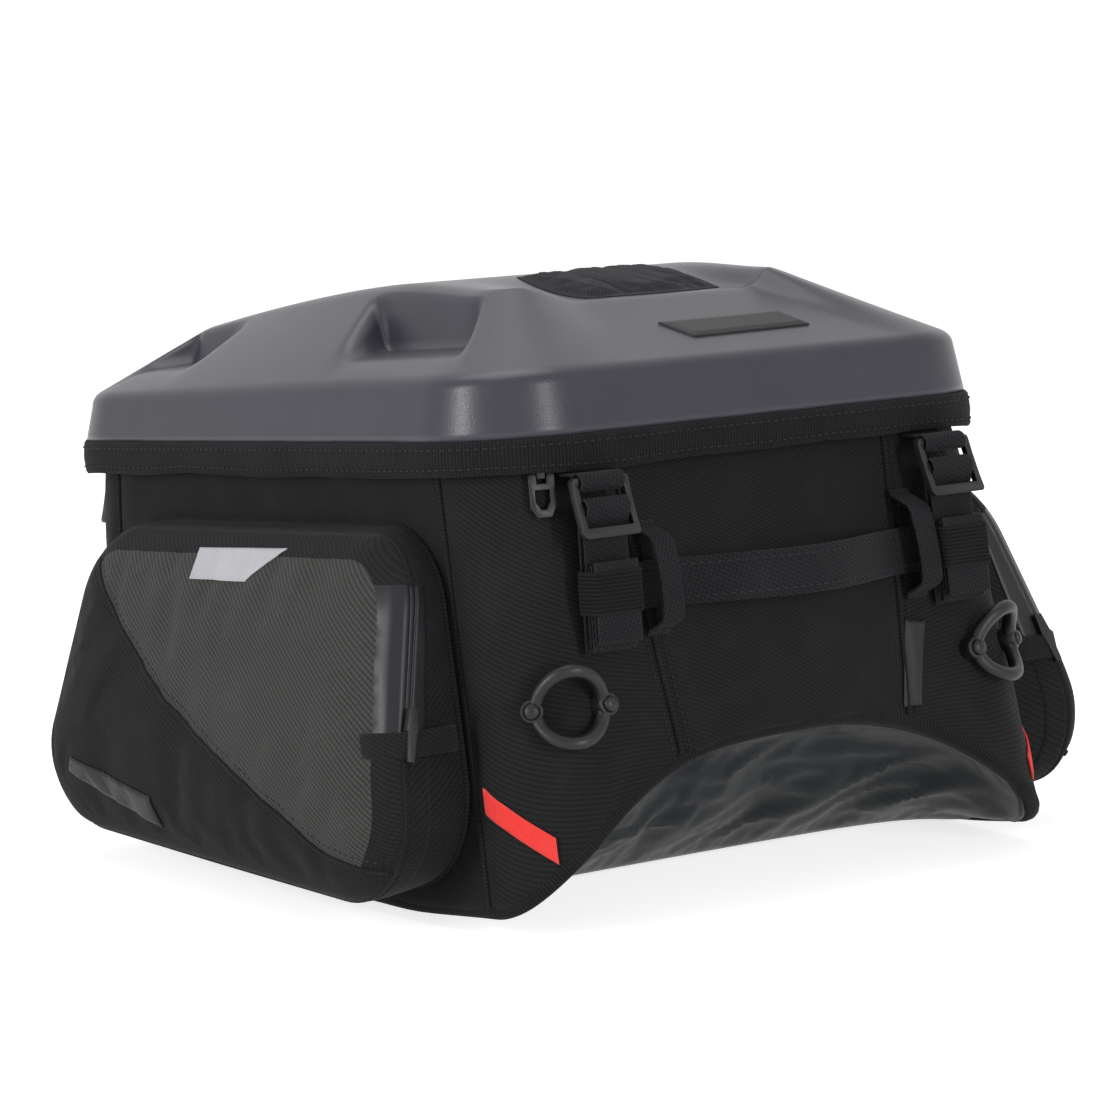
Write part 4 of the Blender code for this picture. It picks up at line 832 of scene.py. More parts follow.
@dataclass
class Walls:
    """The eight sewn wall panels with their seam cords, topstitching, accent strips and rear label."""

    wear: Wardrobe
    thick: float = 0.004
    lump: float = 0.0014
    dip: float = 0.0013
    cord: float = 0.0013
    row_off: float = 0.0045
    strip_width: float = 0.012
    strip_thick: float = 0.001
    strip_start: tuple[float, float] = (1.90, 0.050)
    strip_end: tuple[float, float] = (1.42, 0.027)
    label: Corners = ((0.0737, 0.1084), (0.0842, 0.1063), (0.0739, 0.0672), (0.0644, 0.0674))
    label_thick: float = 0.0014

    @staticmethod
    def run(station: float) -> float:
        """Return the length along the wall from the rear middle to a station, by the nearer way."""
        nearer = min(station % 9.0, 9.0 - station % 9.0)
        side = FORM.depth - 2 * FORM.corner
        turn = FORM.corner * math.pi / 2
        lengths = (FORM.corner_x, turn, side, turn, 2 * FORM.corner_x)
        return sum(length * min(max(nearer - index, 0.0), 1.0) for index, length in enumerate(lengths))

    def edge(self, station: float, z: float) -> float:
        """Return the distance from a place on the wall to the nearest seam."""
        seam = FORM.seam_station(z)
        here = self.run(station)
        return min(abs(here - self.run(at)) for at in (seam, 2.0, 3.0, 4.5 - seam / 2))

    def surface(self, station: float, z: float, lift: float = 0.0, mirrored: bool = False) -> Vector:
        """Return a point on the soft outside of the wall.

        Args:
            station: place round the left half of the plan.
            z: height.
            lift: distance outside the cloth.
            mirrored: whether the point is on the right half.
        """
        spot = FORM.wall(station, z)
        if mirrored:
            spot.x = -spot.x
        edge = self.edge(station, z)
        soft = self.lump * rumple(spot, 0.050) + 0.4 * self.lump * rumple(spot, 0.017)
        pull = 0.5 * self.lump * rumple(Vector((spot.x * 8, spot.y * 8, z)), 0.05) * near(edge, 0.020)
        out = (soft + pull) * min(edge / 0.010, 1.0) - self.dip * near(edge, 0.0045)
        spot = FORM.wall(station, z, out + lift)
        if mirrored:
            spot.x = -spot.x
        return spot

    def panel(self, name: str, stations: Callable[[float, float], float], columns: Sequence[float],
              mirrored: bool = False) -> None:
        """Make one wall panel.

        Args:
            name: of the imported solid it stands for.
            stations: gives the wall station across the panel at a height.
            columns: places across the panel.
            mirrored: whether it is on the right.
        """
        def place(across: float, share: float) -> Vector:
            z = mix(FORM.wall_foot(stations(across, 0.05)), FORM.height, share)
            z = mix(FORM.wall_foot(stations(across, z)), FORM.height, share)
            return self.surface(stations(across, z), z, 0.0, mirrored)
        bm = face_from(sheet(columns, spread(49), place), Vector((0.0, 0.0, 0.1)))
        made = piece(name, bm, (self.wear[Finish.NYLON], self.wear[Finish.LINING]))
        thicken(made, self.thick, 1)
        fixed(made, "bag_body", "ballistic_nylon", name)

    def build(self) -> None:
        """Make every panel."""
        def rear_corner(across: float, z: float) -> float:
            start = FORM.seam_station(z)
            return mix(start, 1.0, across * 2) if across < 0.5 else mix(1.0, 2.0, across * 2 - 1)

        def front_corner(across: float, z: float) -> float:
            end = 4.5 - FORM.seam_station(z) / 2
            return mix(4.0, end, across * 2 - 1) if across > 0.5 else mix(3.0, 4.0, across * 2)

        self.panel("rear_centre_panel", lambda u, z: (u * FORM.seam_station(z)) % 9.0, spread(61, -1.0))
        self.panel("front_centre_panel", lambda u, z: 4.5 + u * FORM.seam_station(z) / 2, spread(41, -1.0))
        for side, name in SIDES:
            self.panel(f"rear_{name}_panel", rear_corner, spread(43), side > 0)
            self.panel(f"front_{name}_panel", front_corner, spread(35), side > 0)
            self.panel(f"{name}_side_panel", lambda u, z: 2.0 + u, spread(61), side > 0)

    def seam_line(self, stations: Callable[[float], float], lift: float, mirrored: bool) -> list[Vector]:
        """Return a line up the wall at the stations given for each height."""
        line = []
        for share in spread(60):
            z = mix(FORM.wall_foot(stations(0.05)), FORM.height - 0.0005, share)
            line.append(self.surface(stations(z), z, lift, mirrored))
        return line

    def dress(self) -> None:
        """Add seam cords, rows of stitches, accent strips and the bare rear label."""
        cords, rows = [], []
        for side, _ in SIDES:
            right = side > 0
            tracks = (FORM.seam_station, lambda z: 4.5 - FORM.seam_station(z) / 2, lambda z: 2.0,
                      lambda z: 3.0)
            for track in tracks:
                line = self.seam_line(track, 0.0004, right)
                cords.append(tube(line, self.cord, Vector((0.7, 0.7, 0.05)), 8))
            for offset in (-self.row_off, self.row_off):
                line = self.seam_line(lambda z: FORM.seam_station(z) + offset / FORM.corner_x, 0.0002, right)
                rows.append(stitches(line, lambda spot: Vector((0.0, -1.0, 0.1))))
        made = piece("seam_cords", merged(*cords), [self.wear[Finish.BINDING]])
        fixed(made, "bag_body", "edge_binding")
        made = piece("rear_topstitching", merged(*rows), [self.wear[Finish.THREAD]])
        fixed(made, "bag_body", "edge_binding")
        for side, name in SIDES:
            self.strip(name, side > 0)
        self.rear_label()

    def strip(self, name: str, mirrored: bool) -> None:
        """Make one red strip that runs from the pocket down to the piping."""
        def place(share: float, across: float) -> Vector:
            station = mix(self.strip_start[0], self.strip_end[0], share)
            z = mix(self.strip_start[1], self.strip_end[1], share) + across * self.strip_width / 2
            rounding = 0.0003 * abs(across) ** 6
            return self.surface(station, z, self.strip_thick + 0.0004 - rounding, mirrored)
        bm = face_from(sheet(spread(41), spread(9, -1.0), place), Vector((0.0, 0.0, 0.05)))
        made = thicken(piece(f"{name}_accent_strip", bm, [self.wear[Finish.ACCENT]]), self.strip_thick)
        fixed(made, "bag_body", "accent_tape", f"{name}_accent_strip")

    def rear_label(self) -> None:
        """Make the small bare label sewn beside the right rear seam."""
        def place(across: float, down: float) -> Vector:
            spot = within(self.label, across, down)
            station = spot.x / (FORM.corner_x + FORM.flare(spot.y, FORM.side_flare))
            return self.surface(station, spot.y, self.label_thick, True)
        bm = face_from(sheet(spread(9), spread(21), place), Vector((0.0, 0.0, 0.1)))
        made = thicken(piece("rear_label", bm, [self.wear[Finish.RUBBER]]), self.label_thick)
        fixed(made, "bag_body", "edge_binding")


@dataclass
class Underside:
    """The coated floor with its scoop, the board inside and the piping round the lower edge."""

    wear: Wardrobe
    thick: float = 0.004
    crease: float = 0.0050
    cloth: ClothRun = ClothRun(pressure=1.0, slack=0.020, cap=0.004, tension=10.0, bending=0.5)

    @staticmethod
    def width(y: float) -> float:
        """Return the half width of the floor at a depth."""
        inset = 2 * FORM.piping
        half_x, half_y, middle = FORM.footprint(0.0)
        corner = FORM.corner - inset
        past = min(max(abs(y - middle) - (half_y - FORM.corner), 0.0), corner)
        return half_x - FORM.corner + math.sqrt(corner ** 2 - past ** 2)

    def floor(self, across: float, depth: float) -> Vector:
        """Return a point of the floor, creased where it is scooped up."""
        _, half_y, middle = FORM.footprint(0.0)
        y = mix(middle - half_y + 2 * FORM.piping, middle + half_y - 2 * FORM.piping, depth)
        x = across * self.width(y)
        z = FORM.underside(x, y)
        inner = FORM.foot_rear + FORM.scoop
        rear = min(max((inner - y) / FORM.scoop, 0.0), 1.0)
        raised = ramp(0.004, 0.030, z - FORM.base_slope * y) * ramp(0.0, 0.06, depth)
        fold = rumple(Vector((x * 0.35 + y * 0.8, y * 0.25 - x * 0.25, 0.3)), 0.012)
        lean = FORM.rear_flare / FORM.height
        return Vector((x, y + lean * z * rear, z + self.crease * raised * abs(fold)))

    def build(self) -> None:
        """Make the floor, the board and the piping."""
        bm = sheet(spread(121, -1.0), spread(111), self.floor)
        made = piece("floor_panel", face_from(bm, Vector((0.0, 0.0, 0.4))),
                     (self.wear[Finish.COATED], self.wear[Finish.LINING]))

        def held(spot: Vector) -> bool:
            return spot.z < 0.006 or spot.y < -0.197 + 0.2025 * spot.z
        self.cloth.relax(made, held)
        thicken(made, self.thick, 1)
        fixed(made, "bag_body", "coated_fabric", "floor_panel")
        board = piece("base_board", node_copy("base_board", 0.0008), [self.wear[Finish.BOARD]], settle=False)
        fixed(board, "bag_body", "base_sheet", "base_board")
        self.binding()

    def binding(self) -> None:
        """Make the fabric-covered piping along the lower edge and the arch."""
        path = []
        for station in spread(301, 0.0, 9.0)[:-1]:
            spot = FORM.foot(station, -FORM.piping)
            sway = 0.0006 * rumple(spot, 0.03)
            path.append(spot + Vector((0, 0, FORM.piping + FORM.piping_lift + max(sway, -0.0004))))
        bm = tube(path, FORM.piping, Vector((0, 0, 1)), 12, looped=True)
        made = piece("lower_piping", bm, [self.wear[Finish.BINDING]])
        fixed(made, "bag_body", "edge_binding", "lower_piping")


@dataclass
class Lid:
    """The moulded shell with its notches, rim binding, soft insert and bare badge."""

    wear: Wardrobe
    low: float = 0.2133
    shoulder: float = 0.2415
    fall: float = 0.007
    draft: float = 0.0045
    fillet: float = 0.005
    shell_x: float = 0.158
    shell_y: float = 0.191
    thick: float = 0.004
    top_x: float = 0.0885
    top_rear: float = -0.1135
    top_front: float = 0.1515
    top_corner: float = 0.020
    crest: tuple[float, float] = (-0.034, 0.2835)
    front_fall: float = 0.019
    dip: float = 0.0045
    dish: float = 0.0088
    dish_span: tuple[float, float] = (-0.42, 0.70)
    dish_end: float = 0.88
    pinch: float = 0.88
    notch_lift: float = 0.010
    notches: Corners = ((1.78, 2.30), (2.85, 3.22))
    binding_low: float = 0.197
    binding_high: float = 0.213
    binding_thick: float = 0.0035
    insert_x: float = 0.012
    insert_half: tuple[float, float] = (0.047, 0.029)
    insert_y: float = -0.075
    insert_thick: float = 0.003
    insert_cloth: ClothRun = ClothRun(pressure=4.0, slack=0.03, cap=0.002, tension=8.0, bending=0.3)
    badge: Corners = ((-0.020, -0.1445), (0.054, -0.1445), (0.059, -0.1610), (-0.013, -0.1630))
    badge_size: tuple[float, float] = (0.074, 0.018)
    badge_thick: float = 0.0022

    @property
    def top_half_y(self) -> float:
        """Return half the depth of the top."""
        return (self.top_front - self.top_rear) / 2

    @property
    def top_middle(self) -> float:
        """Return the depth of the top's middle."""
        return (self.top_front + self.top_rear) / 2

    @property
    def low_corner(self) -> float:
        """Return the corner radius of the skirt."""
        return FORM.corner + self.shell_x - FORM.width / 2

    def shoulder_height(self, y: float) -> float:
        """Return the height of the shoulder at a depth."""
        return self.shoulder - self.fall * min(max(y / FORM.depth + 0.5, 0.0), 1.0)

    def top_height(self, x: float, y: float) -> float:
        """Return the height of the top: a crest that falls to the front and a dish behind it."""
        crest_y, crest_z = self.crest
        fallen = min(max((y - crest_y) / (self.top_front - crest_y), 0.0), 1.0) ** 1.5
        across = x / self.top_x
        left, right = self.dish_span
        rise = min((across + self.dish_end) / (left + self.dish_end),
                   (self.dish_end - across) / (self.dish_end - right))
        back = 1.0 - ease((crest_y - y) / (crest_y - self.top_rear))
        return crest_z - self.front_fall * fallen - back * (self.dip + self.dish * (1.0 - ease(rise)))

    def notch(self, station: float, share: float) -> float:
        """Return how fully a place on the slope is notched, 0 to 1."""
        nearer = min(station, 9.0 - station)
        deep = max(ramp(start - 0.045, start + 0.035, nearer) * ramp(-end - 0.030, -end + 0.030, -nearer)
                   for start, end in self.notches)
        return deep * ramp(-0.91, -0.80, -share)

    def slope(self, station: float, share: float) -> Vector:
        """Return a point on the slope between the shoulder and the top."""
        flat = FORM.plan(station, mix(self.shell_x - self.draft, self.top_x, share),
                         mix(self.shell_y - self.draft, self.top_half_y, share),
                         mix(self.low_corner - self.draft, self.top_corner, share), self.top_middle * share)
        edge = FORM.plan(station, self.top_x, self.top_half_y, self.top_corner, self.top_middle)
        height = mix(self.shoulder_height(flat.y), self.top_height(edge.x, edge.y), share)
        over = height - self.shoulder_height(flat.y) - self.notch_lift - 0.004 * share
        over = 0.5 * (over + math.sqrt(over * over + 0.0035 ** 2)) * ramp(0.02, 0.2, share)
        return Vector((flat.x, flat.y, height - over * self.notch(station, share)))

    def skirt(self, station: float, share: float) -> Vector:
        """Return a point on the skirt below the shoulder."""
        inset = self.draft * 0.9 * share
        flat = FORM.plan(station, self.shell_x - inset, self.shell_y - inset, self.low_corner - inset)
        return Vector((flat.x, flat.y, mix(self.low, self.shoulder_height(flat.y) - self.fillet, share)))

    def crown(self, station: float, width: float) -> Vector:
        """Return a point of the top, width 1 at its edge and 0 along its middle line."""
        flat = FORM.plan(station, self.top_x * width, self.top_half_y * mix(self.pinch, 1.0, width),
                         self.top_corner * width / 2, self.top_middle)
        return Vector((flat.x, flat.y, self.top_height(flat.x, flat.y)))

    def ring(self, station: float, step: float) -> Vector:
        """Return a point of the shell; step runs 0 at the rim, 1, 2, 3, 4 to 5 at the top's middle line."""
        bend, share = divmod(min(step, 4.9999), 1.0)
        if bend == 0:
            return self.skirt(station, share)
        if bend == 1:
            corner = self.slope(station, 0.0)
            return self.eased(self.skirt(station, 1.0), corner, self.slope(station, 0.07), share)
        if bend == 2:
            return self.slope(station, mix(0.07, 0.91, share))
        if bend == 3:
            return self.eased(self.slope(station, 0.91), self.slope(station, 1.0),
                              self.crown(station, 0.93), share)
        return self.crown(station, 0.93 * (1.0 - share) if step < 4.9999 else 0.0)

    @staticmethod
    def eased(first: Vector, corner: Vector, last: Vector, share: float) -> Vector:
        """Return a point on a rounding that leaves first and reaches last, aiming at their corner."""
        return first.lerp(corner, share).lerp(corner.lerp(last, share), share)

    @staticmethod
    def stations() -> list[float]:
        """Return fine stations all round, closest at the corners and the notches."""
        counts = (20, 22, 60, 22, 36, 22, 60, 22, 20)
        found = [0.0]
        for segment, count in enumerate(counts):
            found += [segment + (step + 1) / count for step in range(count)]
        return found

    def build(self) -> None:
        """Make the shell, the binding and the insert."""
        steps = spread(7, 0.0, 1.0) + spread(7, 1.0, 2.0)[1:] + spread(34, 2.0, 3.0)[1:]
        steps += spread(8, 3.0, 4.0)[1:] + spread(22, 4.0, 5.0)[1:]
        bm = face_from(sheet(self.stations(), steps, self.ring), Vector((0.0, 0.0, 0.1)))
        shell = piece("lid_shell", bm, (self.wear[Finish.FOAM], self.wear[Finish.LINING]))
        thicken(shell, self.thick, 1)
        fixed(shell, "lid", "moulded_shell", "lid_shell")
        self.rim()
        self.insert()
        self.plate()

    def rim(self) -> None:
        """Make the wavy fabric binding round the rim, with its row of stitches."""
        out, thin = FORM.overhang, self.binding_thick
        low, high = self.binding_low, self.binding_high
        middle = (low + high) / 2
        section = ((-0.0007, high - 0.0025), (out - thin, high - 0.0025), (out - thin, middle),
                   (out - thin, low + 0.0012), (out - thin * 0.7, low + 0.0002),
                   (out - thin * 0.35, low + 0.0001), (out - 0.0003, low + 0.0014), (out, low + 0.004),
                   (out + 0.0004, middle), (out, high - 0.004), (out - 0.0004, high - 0.0012),
                   (out - 0.0014, high), (out - 0.003, high + 0.0001), (-0.0007, high),
                   (-0.0007, high - 0.0025))

        def wave(station: float, lift: float, z: float) -> Vector:
            plain = FORM.plan(station, FORM.width / 2 + lift, FORM.depth / 2 + lift, FORM.corner + lift)
            spot = Vector((plain.x, plain.y, 0.0))
            skin = ramp(0.004, 0.0095, lift)
            sway = 0.0022 * rumple(spot, 0.060) + 0.0005 * rumple(spot, 0.016)
            full = lift + 0.0004 * rumple(spot, 0.021) * skin
            flat = FORM.plan(station, FORM.width / 2 + full, FORM.depth / 2 + full, FORM.corner + full)
            return Vector((flat.x, flat.y, z + sway * skin * ramp(-high, -low, -z)))

        bm = sheet(self.stations(), range(len(section)),
                   lambda station, index: wave(station, *section[int(index)]))
        bmesh.ops.recalc_face_normals(bm, faces=bm.faces)
        made = piece("lid_binding", bm, [self.wear[Finish.BINDING]])
        fixed(made, "lid", "edge_binding", "lid_binding")
        rows = []
        for z in (high - 0.0034, low + 0.0036):
            line = [wave(station, out + 0.0003, z) for station in self.stations()]
            rows.append(stitches(line, lambda spot: Vector((spot.x, spot.y, 0.0))))
        fixed(piece("lid_binding_stitches", merged(*rows), [self.wear[Finish.THREAD]]), "lid", "edge_binding")

    def insert(self) -> None:
        """Make the soft fabric pad let into the dished top."""
        half_x, half_y = self.insert_half

        def place(across: float, depth: float) -> Vector:
            x, y = across, depth
            round_x, round_y = x * math.sqrt(1 - 0.22 * y * y), y * math.sqrt(1 - 0.16 * x * x)
            spot = Vector((self.insert_x + half_x * round_x, self.insert_y + half_y * round_y, 0.0))
            edge = min((1 - abs(x)) * half_x, (1 - abs(y)) * half_y)
            crease = 0.0011 * abs(rumple(Vector((spot.x, spot.y * 0.45 + spot.x * 0.3, 0.2)), 0.010))
            rise = 0.7 * self.insert_thick * ramp(0.0, 0.011, edge) - crease * ramp(0.0, 0.006, edge)
            return Vector((spot.x, spot.y, self.top_height(spot.x, spot.y) + 0.0004 + rise))
        bm = face_from(sheet(spread(61, -1.0), spread(45, -1.0), place), Vector((0.0, -0.07, 0.1)))
        made = piece("lid_top_insert", bm, [self.wear[Finish.INSERT]])
        centre = FORM.settled(Vector((self.insert_x, self.insert_y, 0.0)))

        def held(spot: Vector) -> bool:
            across, along = abs(spot.x - centre.x) / half_x, abs(spot.y - centre.y - 0.0215) / half_y
            return max(across, along) > 0.86
        self.insert_cloth.relax(made, held)
        thicken(made, 0.0008)
        fixed(made, "lid", "soft_insert", "lid_top_insert")

    def plate(self) -> None:
        """Make the bare rubber badge on the rear slope."""
        def place(across: float, down: float) -> Vector:
            spot = within(self.badge, across, down)
            low_y, high_y = -self.shell_y + self.draft, self.top_rear
            share = (spot.y - low_y) / (high_y - low_y)
            edge_x = spot.x / mix(self.shell_x, self.top_x, share) * self.top_x
            height = mix(self.shoulder_height(spot.y), self.top_height(edge_x, self.top_rear), share)
            rim = min(min(across, 1 - across) * self.badge_size[0], min(down, 1 - down) * self.badge_size[1])
            return Vector((spot.x, spot.y - 0.0004, height + 0.0016 - 0.0008 * ramp(-0.0030, 0.0, -rim)))
        bm = face_from(sheet(spread(75), spread(31), place), Vector((0.0, 0.0, 0.0)))
        made = thicken(piece("lid_badge", bm, [self.wear[Finish.RUBBER]]), self.badge_thick)
        fixed(made, "lid", "moulded_hardware")


@dataclass
class Strap:
    """One fastening strap: anchor, ladder-lock, folded webbing tail and elastic keeper."""

    wear: Wardrobe
    name: str
    x: float
    face: int
    webbing: float = 0.025
    thick: float = 0.0012
    pivot_out: float = 0.016
    pivot_drop: float = 0.0055
    binding_low: float = 0.197
    binding_thick: float = 0.0035
    bars: Corners = ((-0.0020, 0.0022), (-0.0135, -0.0100), (-0.0250, -0.0205))
    lock_thick: float = 0.004
    lock_tilt: float = 0.30
    lock_bend: float = 0.0015
    end: float = 0.078
    bundle_top: float = 0.037
    pitch: float = 0.0022
    keeper_top: float = 0.040
    keeper_height: float = 0.020
    keeper_thick: float = 0.001

    def at(self, across: float, out: float, z: float) -> Vector:
        """Return a point given across the strap, outward from its pivot and up."""
        lean = FORM.base_slope if self.face > 0 else 0.0
        y = self.face * (FORM.depth / 2 + self.pivot_out + out - lean * min(z, 0.0))
        return Vector((self.x - self.face * across, y, self.binding_low - self.pivot_drop + z))

    @staticmethod
    def arc(centre: tuple[float, float], radius: float, start: float, end: float, steps: int) -> list[tuple]:
        """Return points on an arc, angles in degrees."""
        angles = [math.radians(angle) for angle in spread(steps + 1, start, end)]
        return [(centre[0] + radius * math.cos(a), centre[1] + radius * math.sin(a)) for a in angles]

    def tail_path(self) -> list[tuple]:
        """Return the webbing's path through the buckle and into its folded bundle, as (out, z)."""
        low, high = self.bars[1]
        bar, bar_half = (low + high) / 2, (high - low) / 2
        bar_out = self.lock_tilt * (-bar - self.lock_bend)
        reach = math.hypot(bar_half, self.lock_thick / 2 + self.lock_tilt * bar_half)
        reach += FORM.fit + self.thick / 2
        behind = bar_out - reach
        first, fold = behind + 0.0035, self.pitch / 2
        path = [(first + 3 * self.pitch, -self.bundle_top + 0.001), (first + 3 * self.pitch, -0.055)]
        path += self.arc((first + 2.5 * self.pitch, -self.end + 0.006), fold, 0, -180, 8)
        path += self.arc((first + 1.5 * self.pitch, -self.bundle_top - 0.002), fold, 0, 180, 8)
        path += self.arc((first + 0.5 * self.pitch, -self.end + 0.003), fold, 0, -180, 8)
        path += [(first, -0.030), (first, -0.0225), (first + 0.0007, -0.0200), (first + 0.0026, -0.0165)]
        path += self.arc((bar_out, bar), reach, -36, 180, 14)
        return path + [(behind, -0.020), (behind, -self.end)]

    def anchor_path(self) -> list[tuple]:
        """Return the path of the short loop that holds the buckle's top bar, as (out, z)."""
        bar = math.hypot(self.bars[0][1], self.lock_thick / 2) + FORM.fit + self.thick / 2
        pivot_z = self.binding_low - self.pivot_drop
        under = self.pivot_drop - self.thick / 2 - 2 * FORM.fit
        flare = FORM.flare(pivot_z + under, FORM.rear_flare if self.face < 0 else FORM.side_flare)
        seat = -self.pivot_out + flare + FORM.fit + self.thick / 2
        inside = FORM.overhang - self.binding_thick - self.pivot_out
        path = [(seat, FORM.height - pivot_z - FORM.fit), (seat, under + FORM.fit),
                (mix(seat, inside, 0.5), under - 3 * FORM.fit), (mix(inside, 0.0, 0.3), under - 3 * FORM.fit)]
        return path + self.arc((0, 0), bar, 125, 440, 26)

    def tape(self, name: str, path: Sequence[tuple], body: str) -> None:
        """Make one length of webbing along a path."""
        spots = [self.at(0.0, out, z) for out, z in path]
        across = Vector((1.0, 0.0, 0.0))
        made = piece(name, band(spots, across, self.webbing, self.thick), [self.wear[Finish.WEBBING]])
        fixed(made, body, "webbing", name)

    def build(self) -> None:
        """Make the four pieces of the strap."""
        self.tape(f"{self.name}_anchor", self.anchor_path(), "bag_body")
        self.tape(f"{self.name}_tail", self.tail_path(), self.name)
        lock = node_copy(f"{self.name}_buckle", 0.0007, 3)
        made = piece(f"{self.name}_buckle", lock, [self.wear[Finish.ACETAL]], settle=False)
        fixed(made, self.name, "moulded_hardware", f"{self.name}_buckle")
        self.keeper()

    def keeper(self) -> None:
        """Make the elastic band that holds the folded tail."""
        path = self.tail_path()
        near_out = min(out for out, _ in path) - self.thick / 2 - 2 * FORM.fit - self.keeper_thick / 2
        far_out = path[0][0] + self.thick / 2 + FORM.fit + self.keeper_thick / 2
        half = self.webbing / 2 + FORM.fit + self.keeper_thick / 2
        z = -self.keeper_top - self.keeper_height / 2
        turn = 0.0016
        corners = (((half, near_out), 270), ((half, far_out), 0), ((-half, far_out), 90),
                   ((-half, near_out), 180))
        ring = [(0.0, near_out), (half * 0.5, near_out)]
        for (x, out), start in corners:
            middle = (x - math.copysign(turn, x), out + (turn if out == near_out else -turn))
            ring += self.arc(middle, turn, start, start + 90, 5)
        ring += [(-half * 0.5, near_out), (0.0, near_out)]
        spots = [self.at(across, out, z) for across, out in ring]
        bm = band(spots, Vector((0.0, 0.0, 1.0)), self.keeper_height, self.keeper_thick)
        made = piece(f"{self.name}_keeper", bm, [self.wear[Finish.ELASTIC]])
        fixed(made, self.name, "elastic", f"{self.name}_keeper")


@dataclass
class Handle:
    """The webbing carry handle and the two loops it slides in."""

    wear: Wardrobe
    x: float = 0.005
    half: float = 0.084
    z: float = 0.141
    height: float = 0.022
    thick: float = 0.0024
    bow: float = 0.026
    loop_span: float = 0.077
    loop_width: float = 0.012
    loop_low: float = 0.118
    loop_high: float = 0.170
    loop_bow: float = 0.0155
    web_thick: float = 0.0012
    row_drop: float = 0.0075

    def build(self) -> None:
        """Make the handle with its rows of stitches, and the loops."""
        low = self.z - self.height / 2
        lean = FORM.rear_flare / FORM.height
        across = Vector((0.0, lean, 1.0)).normalized()
        seat = FORM.flare(low, FORM.rear_flare) + FORM.fit + self.thick / 2
        path = []
        for share in spread(61, -1.0):
            x = share * self.half
            out = seat + self.bow * math.cos(math.pi * share / 2) ** 2
            path.append(Vector((self.x + x, -FORM.depth / 2 - out + lean * self.height / 2, self.z)))
        made = piece("carry_handle", band(path, across, self.height, self.thick), [self.wear[Finish.WEBBING]])
        fixed(made, "handle", "webbing", "carry_handle")
        rows = []
        for drop in (-self.row_drop, self.row_drop):
            line = [spot + across * drop - Vector((0.0, self.thick / 2 + 0.0001, 0.0)) for spot in path]
            rows.append(stitches(line, lambda spot: Vector((0.0, -1.0, 0.0))))
        fixed(piece("handle_stitches", merged(*rows), [self.wear[Finish.THREAD]]), "handle", "webbing")
        for side, name in SIDES:
            self.loop(name, self.x + side * self.loop_span)

    def loop(self, name: str, middle: float) -> None:
        """Make one loop, sewn down at both ends with a bar of thread."""
        shape = ((0.0, 0.0), (0.05, 0.12), (0.085, 0.42), (0.13, 0.75), (0.16, 0.86), (0.2, 0.93),
                 (0.34, 0.985), (0.5, 1.0))
        shape += tuple((1.0 - up, bow) for up, bow in shape[-2::-1])
        path = []
        for up, bow in shape:
            z = mix(self.loop_low, self.loop_high, up)
            swell = FORM.bulge(abs(middle) - self.loop_width / 2, z)
            seat = FORM.flare(z, FORM.rear_flare) + swell + 2 * FORM.fit + self.web_thick / 2
            path.append(Vector((middle, -FORM.depth / 2 - seat - self.loop_bow * bow, z)))
        bm = band(path, Vector((1.0, 0.0, 0.0)), self.loop_width, self.web_thick)
        made = piece(f"{name}_handle_loop", bm, [self.wear[Finish.WEBBING]])
        fixed(made, "bag_body", "webbing", f"{name}_handle_loop")
        rows = []
        for spot in (path[0] + Vector((0, -0.0011, 0.0014)), path[-1] + Vector((0, -0.0011, -0.0014))):
            line = [spot + Vector((step, 0.0, 0.0)) for step in spread(12, -0.0052, 0.0052)]
            rows.append(stitches(line, lambda at: Vector((0.0, -1.0, 0.0)), 0.0009, 0.0002, 0.0016))
        made = piece(f"{name}_loop_bartacks", merged(*rows), [self.wear[Finish.THREAD]])
        fixed(made, "bag_body", "webbing")


def turned(centre: Vector, axis: Vector, profile: Corners, steps: int = 28) -> BMesh:
    """Return a turned shape.

    Args:
        centre: where the axis meets the base.
        axis: its direction.
        profile: radius and height of each ring, the first and last on the axis.
        steps: faces round it.
    """
    bm = bmesh.new()
    across = axis.orthogonal().normalized()
    line = [bm.verts.new(centre + axis * height + across * radius) for radius, height in profile]
    edges = [bm.edges.new(pair) for pair in zip(line, line[1:])]
    bmesh.ops.spin(bm, geom=line + edges, cent=centre, axis=axis, dvec=(0, 0, 0), angle=2 * math.pi,
                   steps=steps, use_merge=True, use_duplicate=False)
    bmesh.ops.remove_doubles(bm, verts=bm.verts, dist=1e-6)
    bmesh.ops.recalc_face_normals(bm, faces=bm.faces)
    return bm


